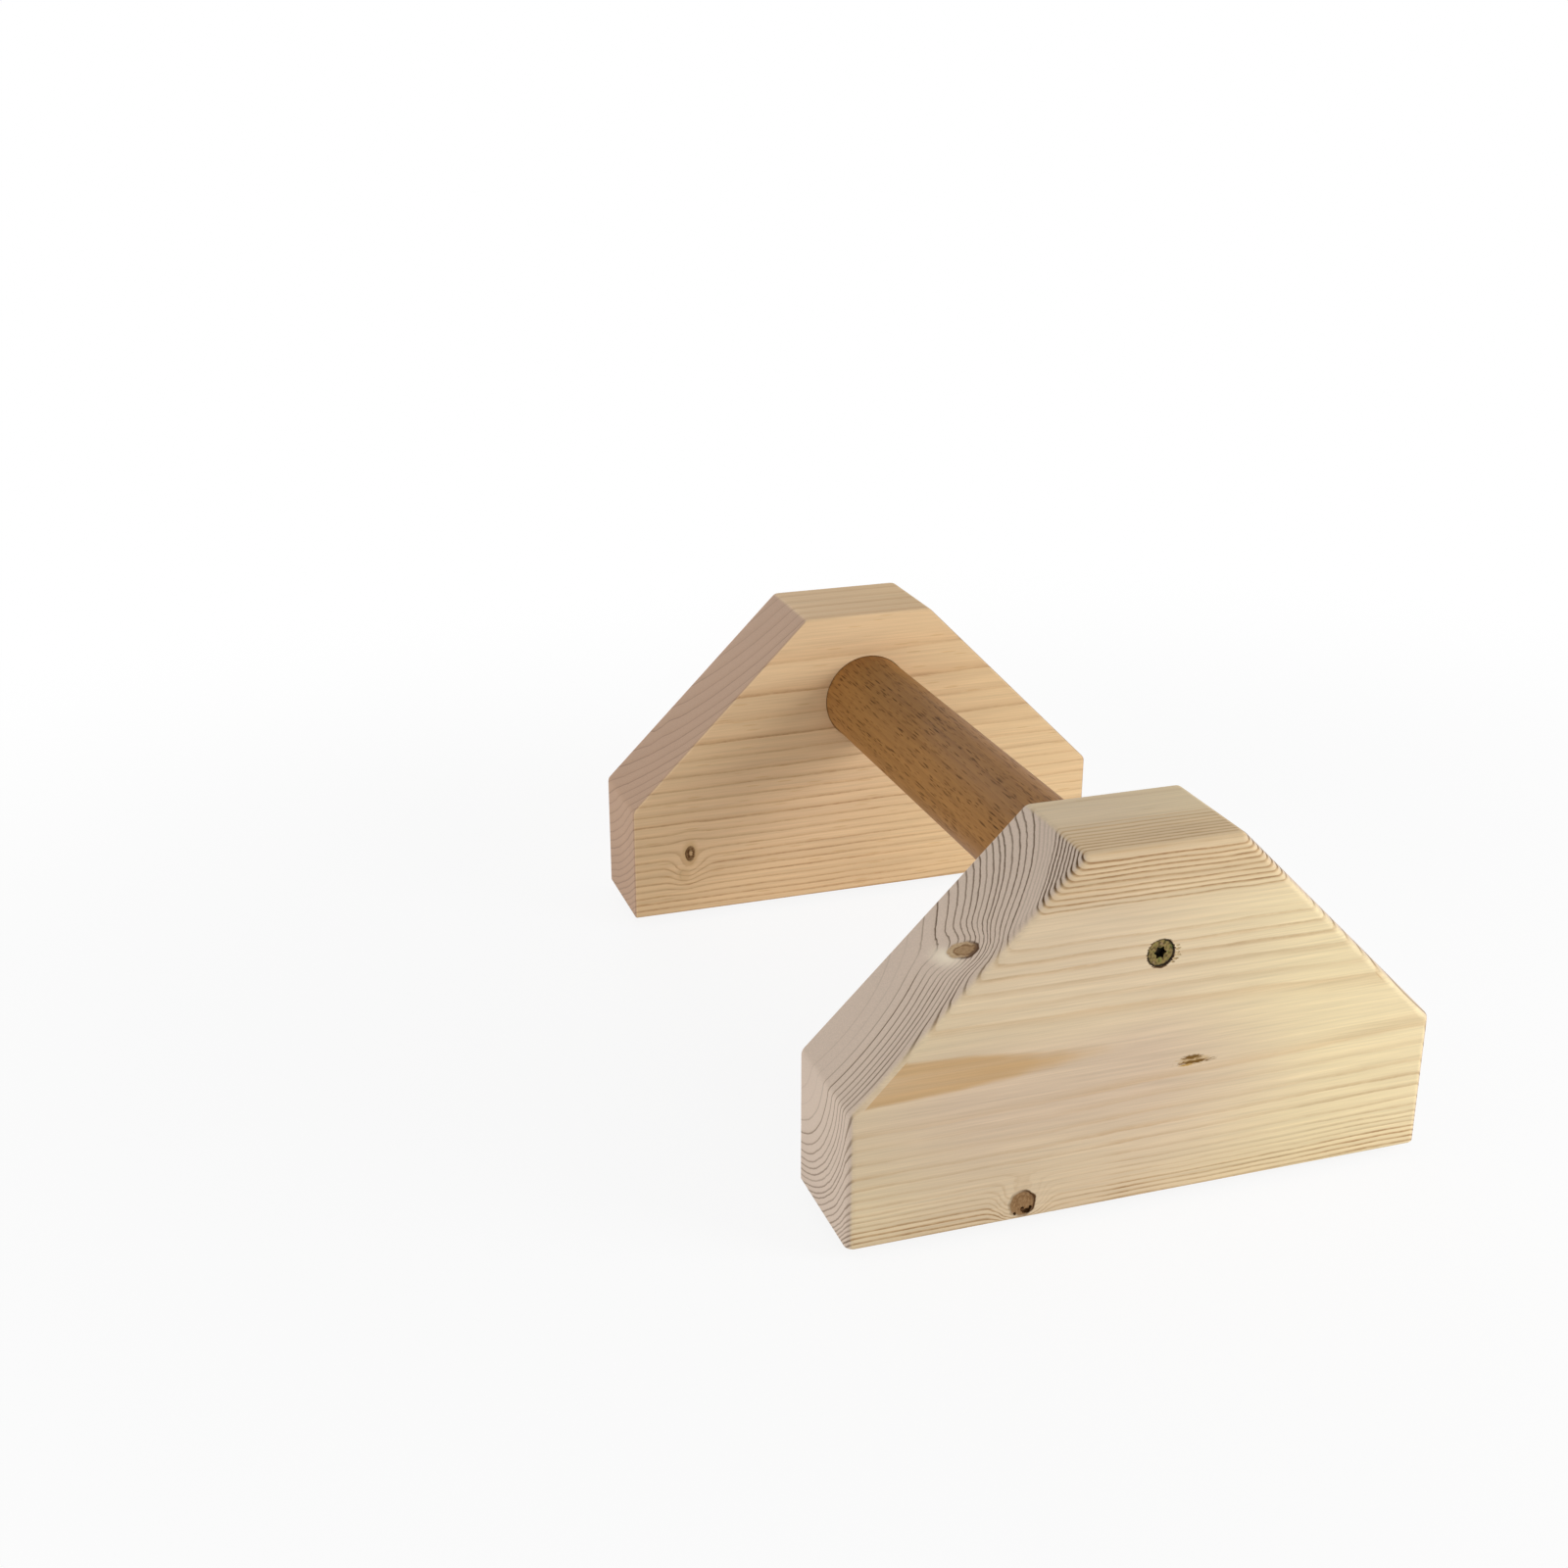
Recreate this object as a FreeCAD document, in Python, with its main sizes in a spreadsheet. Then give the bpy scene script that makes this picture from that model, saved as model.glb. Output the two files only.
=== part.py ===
import FreeCAD, Part
import enum
import math
import os
import Sketcher

# Wooden parallette bar: two end blocks, a round grip bar, two screws and four stick-on rubber feet.
# Millimetres. X runs along the bar, Y across the blocks, Z up. The origin is on the floor under the
# middle of the bar.

DIMENSIONS = (
    ("overall_length", 306.0, "outer face of one block to the outer face of the other"),
    ("block_thickness", 45.0, "planed board that the blocks are cut from"),
    ("block_width", 208.0, "base of a block"),
    ("block_height", 125.0, "underside of a block to its flat top"),
    ("shoulder_height", 48.5, "underside of a block to where its sides start to slant"),
    ("top_width", 55.0, "flat top between the two slanted sides"),
    ("outer_edge_radius", 3.0, "rounding round the outer face"),
    ("corner_softening", 0.5, "how much larger the outline's corner radius is than the edge rounding"),
    ("arris_radius", 1.0, "broken edges of the inner face and of the underside"),
    ("bar_diameter", 37.0, "grip bar"),
    ("bar_axis_height", 88.0, "underside of a block to the bar's axis"),
    ("bar_end_chamfer", 1.0, "chamfer on the hidden ends of the bar"),
    ("socket_depth", 20.0, "blind hole in a block that takes the bar"),
    ("socket_clearance", 0.25, "round the bar in its socket"),
    ("bar_end_gap", 0.2, "end of the bar to the bottom of its socket"),
    ("screw_length", 70.0, "top of the head to the tip"),
    ("thread_length", 40.0, "threaded stretch, short of the tip"),
    ("thread_diameter", 5.0, "over the crest"),
    ("thread_pitch", 2.8, "one turn of the thread"),
    ("crest_width", 0.25, "flat on the crest of the thread"),
    ("root_width", 1.1, "foot of the thread on the core"),
    ("core_diameter", 3.3, "under the thread"),
    ("shank_diameter", 3.7, "plain stretch under the head"),
    ("tip_length", 5.0, "pointed end"),
    ("head_diameter", 9.6, "countersunk head"),
    ("head_rim", 0.5, "cylindrical edge of the head"),
    ("head_sink", 0.6, "top of the head below the outer face"),
    ("head_clearance", 0.1, "round the head in its countersink"),
    ("bore_clearance", 0.25, "round the screw in the block"),
    ("drive_width", 4.5, "six-lobe recess, lobe tip to lobe tip"),
    ("drive_waist", 3.24, "six-lobe recess, across its narrow places"),
    ("drive_lobe_radius", 0.36, "rounding of a lobe tip"),
    ("drive_depth", 2.2, "depth of the six-lobe recess"),
    ("pilot_clearance", 0.05, "round the screw's core in the bar"),
    ("pilot_overrun", 2.0, "pilot hole beyond the screw's tip"),
    ("foot_diameter", 26.0, "rubber foot"),
    ("foot_thickness", 3.5, "rubber foot without its adhesive"),
    ("foot_bevel_width", 2.0, "bevelled rim of a foot, inwards"),
    ("foot_bevel_height", 1.2, "bevelled rim of a foot, upwards"),
    ("foot_edge_radius", 0.4, "rounding of the bevel's edges"),
    ("foot_inset", 22.5, "end of a block to the centre of a foot"),
    ("adhesive_thickness", 0.5, "adhesive disc between foot and block"),
    ("adhesive_margin", 1.0, "edge of a foot to the edge of its adhesive disc"),
)

# Places worked out from the driving dimensions
LIFT = "(dims.foot_thickness + dims.adhesive_thickness)"
INNER_FACE = "(dims.overall_length / 2 - dims.block_thickness)"
BLOCK_CENTRE = "(dims.overall_length / 2 - dims.block_thickness / 2)"
BAR_AXIS = "(" + LIFT + " + dims.bar_axis_height)"
BAR_HALF = "(" + INNER_FACE + " + dims.socket_depth - dims.bar_end_gap)"
SCREW_TOP = "(dims.overall_length / 2 - dims.head_sink)"
FOOT_OFFSET = "(dims.block_width / 2 - dims.foot_inset)"
HEAD_RADIUS = "dims.head_diameter / 2"
THREAD_START = "(dims.tip_length - dims.screw_length)"

TOUCH = 1e-4
DRIVE_LOBES = 6
TURN = 360.0
HALF_TURN = 180.0


class SketchAxis(enum.IntEnum):
    """Numbers of a sketch's own axes. The origin is the start of the horizontal one."""
    HORIZONTAL = -1
    VERTICAL = -2


class PointOf(enum.IntEnum):
    """Numbers of the points on a line, arc or circle of a sketch."""
    START = 1
    END = 2
    CENTRE = 3


def make_sheet(doc):
    """Spreadsheet with one named row for each driving dimension."""
    sheet = doc.addObject("Spreadsheet::Sheet", "dims")
    for row, (alias, value, note) in enumerate(DIMENSIONS, start=1):
        sheet.set("A%d" % row, alias)
        sheet.set("B%d" % row, str(value))
        sheet.set("C%d" % row, note)
        sheet.setAlias("B%d" % row, alias)
    doc.recompute()
    return sheet


def new_body(doc, label):
    body = doc.addObject("PartDesign::Body", label)
    body.Label = label
    return body


def place(item, x, y, z, turned=False):
    """Put an item at three expressions, turned half way round Z at the rear end."""
    if turned:
        half_turn = FreeCAD.Rotation(FreeCAD.Vector(0, 0, 1), HALF_TURN)
        item.Placement = FreeCAD.Placement(FreeCAD.Vector(), half_turn)
    for axis, expression in (("x", x), ("y", y), ("z", z)):
        item.setExpression("Placement.Base." + axis, expression)


def origin_plane(body, role):
    for feature in body.Origin.OriginFeatures:
        if feature.Role == role:
            return feature
    raise ValueError("no origin plane " + role)


def new_sketch(body, name, role):
    sketch = body.newObject("Sketcher::SketchObject", name)
    sketch.AttachmentSupport = [(origin_plane(body, role), "")]
    sketch.MapMode = "FlatFace"
    return sketch


def pin_point(sketch, geometry, point, x, y):
    """Tie a sketch point to a pair of expressions; "0" puts it on the axis itself."""
    ways = (("DistanceX", x, SketchAxis.VERTICAL), ("DistanceY", y, SketchAxis.HORIZONTAL))
    for kind, expression, axis in ways:
        if expression == "0":
            sketch.addConstraint(Sketcher.Constraint("PointOnObject", geometry, point, axis))
            continue
        rule = Sketcher.Constraint(kind, SketchAxis.HORIZONTAL, PointOf.START, geometry, point, 1.0)
        index = sketch.addConstraint(rule)
        sketch.setExpression("Constraints[%d]" % index, expression)


def draw_outline(sketch, corners):
    """Closed outline of straight lines through corners that are given as pairs of expressions."""
    count = len(corners)
    rough = []
    for index in range(count):
        angle = 2 * math.pi * index / count
        rough.append(FreeCAD.Vector(math.cos(angle), math.sin(angle), 0))
    for index in range(count):
        sketch.addGeometry(Part.LineSegment(rough[index], rough[(index + 1) % count]))
    for index in range(count):
        joint = Sketcher.Constraint("Coincident", index, PointOf.END, (index + 1) % count, PointOf.START)
        sketch.addConstraint(joint)
    for index, (x, y) in enumerate(corners):
        pin_point(sketch, index, PointOf.START, x, y)


def draw_circle(sketch, diameter, x="0", y="0"):
    circle = sketch.addGeometry(Part.Circle(FreeCAD.Vector(), FreeCAD.Vector(0, 0, 1), 1.0))
    pin_point(sketch, circle, PointOf.CENTRE, x, y)
    index = sketch.addConstraint(Sketcher.Constraint("Diameter", circle, 1.0))
    sketch.setExpression("Constraints[%d]" % index, diameter)


def draw_six_lobes(sketch, sheet):
    """Six-lobe outline: small tip arcs and larger waist arcs that run into each other smoothly."""
    tip_reach = sheet.drive_width / 2
    waist_reach = sheet.drive_waist / 2
    tip_radius = sheet.drive_lobe_radius
    tip_centre = tip_reach - tip_radius
    half_step = math.pi / DRIVE_LOBES
    lean = tip_centre * math.cos(half_step)
    slack = tip_centre ** 2 + waist_reach ** 2 - tip_radius ** 2 - 2 * lean * waist_reach
    waist_radius = slack / (2 * (lean - waist_reach + tip_radius))
    waist_centre = waist_reach + waist_radius

    def at(reach, angle):
        return FreeCAD.Vector(reach * math.cos(angle), reach * math.sin(angle), 0)

    def meeting_point(tip_angle, waist_angle):
        tip = at(tip_centre, tip_angle)
        towards = at(waist_centre, waist_angle) - tip
        return tip + towards.normalize() * tip_radius

    for lobe in range(DRIVE_LOBES):
        angle = 2 * half_step * lobe
        before = meeting_point(angle, angle - half_step)
        after = meeting_point(angle, angle + half_step)
        following = meeting_point(angle + 2 * half_step, angle + half_step)
        sketch.addGeometry(Part.Arc(before, at(tip_reach, angle), after))
        sketch.addGeometry(Part.Arc(after, at(waist_reach, angle + half_step), following))
    arcs = 2 * DRIVE_LOBES
    for index in range(arcs):
        first, second = index, (index + 1) % arcs
        ends = [(arc, point) for arc in (first, second) for point in (PointOf.START, PointOf.END)]
        for arc, point in ends[:2]:
            for other, other_point in ends[2:]:
                gap = sketch.getPoint(arc, point) - sketch.getPoint(other, other_point)
                if gap.Length < TOUCH:
                    sketch.addConstraint(Sketcher.Constraint("Coincident", arc, point, other, other_point))


def sketch_feature(body, kind, name, sketch, **expressions):
    """Feature made from a sketch, with its sizes tied to expressions."""
    feature = body.newObject("PartDesign::" + kind, name)
    feature.Profile = (sketch, [""])
    for size, expression in expressions.items():
        feature.setExpression(size, expression)
    return feature


def turned_feature(body, kind, name, sketch, axis):
    """Full turn of a sketch about one of its own axes."""
    feature = sketch_feature(body, kind, name, sketch)
    feature.ReferenceAxis = (sketch, [axis])
    feature.Angle = TURN
    return feature


def edge_feature(body, kind, name, base, wanted, **expressions):
    """Fillet or chamfer on the edges of the base whose bounding box is wanted."""
    body.Document.recompute()
    edges = []
    for index, edge in enumerate(base.Shape.Edges, start=1):
        if wanted(edge.BoundBox):
            edges.append("Edge%d" % index)
    feature = body.newObject("PartDesign::" + kind, name)
    feature.Base = (base, edges)
    for size, expression in expressions.items():
        feature.setExpression(size, expression)
    return feature


def make_block(doc, sheet, label, sign):
    """End block. Its own X runs from the inner face, at 0, to the outer face."""
    body = new_body(doc, label)
    outline = new_sketch(body, label + "_outline", "YZ_Plane")
    right_side = (
        ("dims.block_width / 2", "0"),
        ("dims.block_width / 2", "dims.shoulder_height"),
        ("dims.top_width / 2", "dims.block_height"),
    )
    left_side = [("-" + y, z) for y, z in reversed(right_side)]
    draw_outline(outline, list(right_side) + left_side)
    board = sketch_feature(body, "Pad", label + "_board", outline, Length="dims.block_thickness")

    def runs_through_upper_corner(box):
        return box.XLength > TOUCH and box.ZMin > TOUCH

    def is_outer_rim(box):
        return box.XMin > sheet.block_thickness - TOUCH and box.ZMax > TOUCH

    def is_arris(box):
        return box.XMax < TOUCH or box.ZMax < TOUCH

    corner_radius = "dims.outer_edge_radius + dims.corner_softening"
    corners = edge_feature(
        body, "Fillet", label + "_corners", board, runs_through_upper_corner, Radius=corner_radius)
    rim = edge_feature(
        body, "Fillet", label + "_outer_rim", corners, is_outer_rim, Radius="dims.outer_edge_radius")
    edge_feature(body, "Fillet", label + "_arrises", rim, is_arris, Radius="dims.arris_radius")

    mouth = new_sketch(body, label + "_socket_mouth", "YZ_Plane")
    draw_circle(mouth, "dims.bar_diameter + 2 * dims.socket_clearance", y="dims.bar_axis_height")
    socket = sketch_feature(body, "Pocket", label + "_socket", mouth, Length="dims.socket_depth")
    socket.Reversed = True

    bore = new_sketch(body, label + "_screw_bore", "XZ_Plane")
    bore.setExpression("AttachmentOffset.Base.y", "dims.bar_axis_height")
    bore_radius = "(dims.thread_diameter / 2 + dims.bore_clearance)"
    seat_radius = "(" + HEAD_RADIUS + " + dims.head_clearance)"
    seat_floor = "dims.block_thickness - dims.head_sink - dims.head_rim"
    draw_outline(bore, (
        ("dims.block_thickness", "0"),
        ("dims.block_thickness", seat_radius),
        (seat_floor, seat_radius),
        (seat_floor + " - (" + seat_radius + " - " + bore_radius + ")", bore_radius),
        ("dims.socket_depth", bore_radius),
        ("dims.socket_depth", "0"),
    ))
    turned_feature(body, "Groove", label + "_countersunk_bore", bore, "H_Axis")
    place(body, "%d * %s" % (sign, INNER_FACE), "0", LIFT, turned=sign < 0)
    return body


def make_bar(doc):
    """Grip bar with a pilot hole in each end."""
    body = new_body(doc, "grip_bar")
    section = new_sketch(body, "bar_section", "YZ_Plane")
    draw_circle(section, "dims.bar_diameter")
    rod = sketch_feature(body, "Pad", "bar_rod", section, Length="2 * " + BAR_HALF)
    rod.SideType = "Symmetric"

    def is_end_edge(box):
        return box.XLength < TOUCH

    edge_feature(body, "Chamfer", "bar_ends", rod, is_end_edge, Size="dims.bar_end_chamfer")

    drill = new_sketch(body, "bar_drill", "XZ_Plane")
    pilot_radius = "(dims.core_diameter / 2 + dims.pilot_clearance)"
    pilot_end = "(" + SCREW_TOP + " - dims.screw_length - dims.pilot_overrun)"
    draw_outline(drill, (
        (BAR_HALF, "0"),
        (BAR_HALF, pilot_radius),
        (pilot_end, pilot_radius),
        (pilot_end + " - " + pilot_radius, "0"),
    ))
    pilot = turned_feature(body, "Groove", "bar_pilot_hole", drill, "H_Axis")
    both = body.newObject("PartDesign::Mirrored", "bar_pilot_holes")
    both.Originals = [pilot]
    both.MirrorPlane = (origin_plane(body, "YZ_Plane"), [""])
    body.Tip = both
    place(body, "0", "0", BAR_AXIS)
    return body


def make_screw(doc, sheet, label, sign):
    """Countersunk wood screw. Its own X starts at the top of the head, and the tip points to -X."""
    body = new_body(doc, label)
    profile = new_sketch(body, label + "_profile", "XZ_Plane")
    shank_radius = "dims.shank_diameter / 2"
    core_radius = "dims.core_diameter / 2"
    thread_end = "(" + THREAD_START + " + dims.thread_length)"
    draw_outline(profile, (
        ("0", "0"),
        ("0", HEAD_RADIUS),
        ("-dims.head_rim", HEAD_RADIUS),
        ("-dims.head_rim - (" + HEAD_RADIUS + " - " + shank_radius + ")", shank_radius),
        (thread_end + " + dims.thread_pitch", shank_radius),
        (thread_end + " + dims.thread_pitch / 2", core_radius),
        (THREAD_START, core_radius),
        ("-dims.screw_length", "0"),
    ))
    turned_feature(body, "Revolution", label + "_blank", profile, "H_Axis")

    tooth = new_sketch(body, label + "_tooth", "XZ_Plane")
    buried = "(dims.core_diameter / 2 - dims.crest_width)"
    crest_radius = "dims.thread_diameter / 2"
    draw_outline(tooth, (
        (THREAD_START, buried),
        (THREAD_START + " + dims.root_width", buried),
        (THREAD_START + " + (dims.root_width + dims.crest_width) / 2", crest_radius),
        (THREAD_START + " + (dims.root_width - dims.crest_width) / 2", crest_radius),
    ))
    thread = sketch_feature(
        body, "AdditiveHelix", label + "_thread", tooth,
        Pitch="dims.thread_pitch", Height="dims.thread_length - dims.root_width")
    thread.ReferenceAxis = (tooth, ["H_Axis"])
    thread.Mode = "pitch-height-angle"

    recess = new_sketch(body, label + "_drive_outline", "YZ_Plane")
    draw_six_lobes(recess, sheet)
    sketch_feature(body, "Pocket", label + "_drive", recess, Length="dims.drive_depth")
    place(body, "%d * %s" % (sign, SCREW_TOP), "0", BAR_AXIS, turned=sign < 0)
    return body


def make_foot(doc, sheet, label, x, y):
    """Rubber foot: a disc with a bevelled rim below."""
    body = new_body(doc, label)
    profile = new_sketch(body, label + "_profile", "XZ_Plane")
    radius = "dims.foot_diameter / 2"
    draw_outline(profile, (
        ("0", "0"),
        (radius + " - dims.foot_bevel_width", "0"),
        (radius, "dims.foot_bevel_height"),
        (radius, "dims.foot_thickness"),
        ("0", "dims.foot_thickness"),
    ))
    disc = turned_feature(body, "Revolution", label + "_disc", profile, "V_Axis")

    def is_bevel_edge(box):
        flat = box.ZLength < TOUCH
        return flat and box.ZMax < sheet.foot_bevel_height + TOUCH

    edge_feature(body, "Fillet", label + "_rim", disc, is_bevel_edge, Radius="dims.foot_edge_radius")
    place(body, x, y, "0")
    return body


def make_adhesive(doc, label, x, y):
    """Adhesive disc on top of a foot."""
    disc = doc.addObject("Part::Cylinder", label)
    disc.Label = label
    disc.setExpression("Radius", "dims.foot_diameter / 2 - dims.adhesive_margin")
    disc.setExpression("Height", "dims.adhesive_thickness")
    place(disc, x, y, "dims.foot_thickness")
    return disc


def make_parts(doc, sheet):
    parts = [make_bar(doc)]
    for end, sign in (("front", 1), ("rear", -1)):
        parts.append(make_block(doc, sheet, end + "_block", sign))
        parts.append(make_screw(doc, sheet, end + "_bar_screw", sign))
        for side, across in (("left", -1), ("right", 1)):
            x = "%d * %s" % (sign, BLOCK_CENTRE)
            y = "%d * %s" % (across, FOOT_OFFSET)
            parts.append(make_foot(doc, sheet, "%s_%s_foot" % (end, side), x, y))
            parts.append(make_adhesive(doc, "%s_%s_adhesive" % (end, side), x, y))
    return parts


def check_document(doc, parts):
    """Stop if a feature failed, a cut cut nothing, or a part isn't one valid solid."""
    for item in doc.Objects:
        if "Invalid" in item.State or "Error" in item.State:
            raise RuntimeError("failed: " + item.Label)
        if item.TypeId in ("PartDesign::Pocket", "PartDesign::Groove"):
            if item.Shape.Volume > item.BaseFeature.Shape.Volume - TOUCH:
                raise RuntimeError("cuts nothing: " + item.Label)
    for item in parts:
        if item.Shape.isNull() or not item.Shape.isValid() or len(item.Shape.Solids) != 1:
            raise RuntimeError("not one valid solid: " + item.Label)


def main():
    doc = FreeCAD.newDocument("parallette_bar")
    sheet = make_sheet(doc)
    parts = make_parts(doc, sheet)
    doc.recompute()
    check_document(doc, parts)
    os.makedirs("parts", exist_ok=True)
    for item in parts:
        item.Shape.exportStep("parts/%s.step" % item.Label)
        box = item.Shape.BoundBox
        print("%-22s volume %10.1f  x %8.2f %8.2f  y %8.2f %8.2f  z %7.2f %7.2f" % (
            item.Label, item.Shape.Volume, box.XMin, box.XMax, box.YMin, box.YMax, box.ZMin, box.ZMax))


main()
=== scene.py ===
import math
import random
from dataclasses import dataclass

import bmesh
import bpy
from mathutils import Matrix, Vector


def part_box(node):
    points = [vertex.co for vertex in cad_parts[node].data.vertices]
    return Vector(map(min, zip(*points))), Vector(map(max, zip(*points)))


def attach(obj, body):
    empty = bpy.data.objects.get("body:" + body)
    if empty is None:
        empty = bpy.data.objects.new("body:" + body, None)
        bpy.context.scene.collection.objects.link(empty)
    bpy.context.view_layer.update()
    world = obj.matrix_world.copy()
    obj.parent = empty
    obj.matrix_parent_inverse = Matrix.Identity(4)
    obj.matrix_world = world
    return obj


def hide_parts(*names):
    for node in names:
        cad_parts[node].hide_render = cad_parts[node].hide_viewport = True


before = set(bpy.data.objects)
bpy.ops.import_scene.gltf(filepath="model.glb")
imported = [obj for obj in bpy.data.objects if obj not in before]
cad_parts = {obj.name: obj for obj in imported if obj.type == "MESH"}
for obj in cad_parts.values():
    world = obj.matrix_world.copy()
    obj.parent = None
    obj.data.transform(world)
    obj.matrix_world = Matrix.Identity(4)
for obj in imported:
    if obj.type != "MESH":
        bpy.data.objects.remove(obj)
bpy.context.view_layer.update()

# Objects are in metres, the materials think in millimetres
MM = 0.001
PER_METRE = 1000.0

# Faces of the blocks along X, in millimetres
FRONT_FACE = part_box("front_block")[1].x * PER_METRE
REAR_INNER_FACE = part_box("rear_block")[1].x * PER_METRE
REAR_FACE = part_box("rear_block")[0].x * PER_METRE

# Camera of the photograph: a square frame with its centre on the optical axis
FRAME_PIXELS = 1600.0
FOCAL_PIXELS = 2112.8
SENSOR_MM = 36.0
CAMERA_PLACE = Vector((0.6712, -0.2977, 0.3765))
CAMERA_FORWARD = Vector((-0.8841, 0.2952, -0.3621))

WHITE = (1, 1, 1, 1)


@dataclass
class Pattern:
    """Noise that swings round a middle, or scattered points, with a rate per millimetre along each axis."""
    rates: tuple
    seed: float = 0.0
    detail: float = 2.0
    swing: float = 1.0
    middle: float = 0.0


@dataclass
class Lamp:
    """A square lamp aimed at the object, in metres and watts."""
    name: str
    place: Vector
    size: float
    watts: float
    colour: tuple = (1.0, 1.0, 1.0)


@dataclass
class Knot:
    """A branch that starts in the pith and comes through the surface at a spot, in millimetres.

    Near it, over the reach, the rings climb outwards by the lift and part round it by the parting. Its
    heart is darker by the dark share, paler round its core by the fade, and nearly black at its tip on the
    dark side. Its bark is as strong as the seam on the dark side and as the bark value on the other. The
    halo is a pale patch without rings on the halo side, and the glow is a tan stain all round. It begins
    at the start, a distance from the pith.
    """
    spot: tuple
    radius: float
    dark_side: tuple
    stretch: float = 1.0
    lift: float = 1.0
    parting: float = 0.0
    reach: float = 3.0
    depth: float = 1.0
    dark: float = 0.0
    fade: float = 0.0
    seam: float = 1.0
    bark: float = 0.15
    tip: float = 0.0
    halo: float = 0.0
    halo_side: tuple = (0.0, -1.0, 0.0)
    glow: float = 0.0
    start: float = 12.0


@dataclass
class Streak:
    """A thin stain or pocket of resin: its middle and half sizes in millimetres, its colour and strength."""
    spot: tuple
    size: tuple
    colour: tuple
    strength: float


@dataclass
class Calm:
    """A place with weak lines: its middle and reach in millimetres, and the share of them that is left."""
    spot: tuple
    reach: float
    share: float


@dataclass
class Log:
    """The tree that a block was sawn from. Its pith runs along Y and leans a little.

    The growth record says how many rings lie inside some radii. Rings are weak inside the plain radius,
    and on a face above the pith between the two pale radii. They are all strong beyond the bold radius,
    and the marked ones, each a radius and a strength, are at least that strong, as all are at least as
    strong as the least. The other rings are stray lines on a long face, and weak ones in the calm places.
    The line is how wide a border is at the plain and at the bold radius, the dusk is how much a ring
    darkens before it, and the end line is how dark it is on the end grain. The blush is how much the
    middle of the board is pinker and darker, partly a pinker tone and partly painted shade. The tint
    colours all the wood, on the rear block a warmer tone that is partly painted shade, and the end_shade
    darkens the end grain as painted shade.
    """
    pith_x: float
    pith_z: float
    lean: float
    growth: tuple
    plain: float
    pale: tuple
    bold: float
    marked: tuple
    least: float
    stray: float
    calm: tuple
    line: tuple
    dusk: float
    end_line: float
    blush_and_shade: float
    seed: float
    knots: tuple
    streaks: tuple
    tint_and_shade: tuple = (1.0, 1.0, 1.0)
    end_shade: tuple = (1.0, 1.0, 1.0)


@dataclass
class Chip:
    """A pit torn out of the wood: its middle and half sizes in millimetres."""
    place: tuple
    size: tuple
    seed: int


@dataclass
class Cut:
    """The face at the shaded point: place and normal, the way out from the pith and the height above it,
    how flat the face lies to the rings, and how much of it is end grain and how much long grain."""
    place: object
    normal: object
    outwards: object
    above_pith: object
    flatness: object
    end: object
    side: object


@dataclass
class Grain:
    """Noise at the shaded point that runs along the grain, and the pores of the end grain."""
    fibres: object
    threads: object
    streaks: object
    pores: object


@dataclass
class Limb:
    """A knot's branch at the shaded point: distance from its middle line and out along that, how much the
    point faces the dark side and the halo side, and a place that runs along the branch's own fibres."""
    knot: Knot
    beside: object
    out: object
    facing: object
    by_halo: object
    flow: object


@dataclass
class Rings:
    """The rings at the shaded point: radius about the pith, the part of the ring that lies inside it, how
    far it is inside the next dark border and beyond the last one, and how dark the nearer border is on the
    end grain and on a long face."""
    radius: object
    part: object
    inside: object
    beyond: object
    vigour: object
    face_vigour: object


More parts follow.
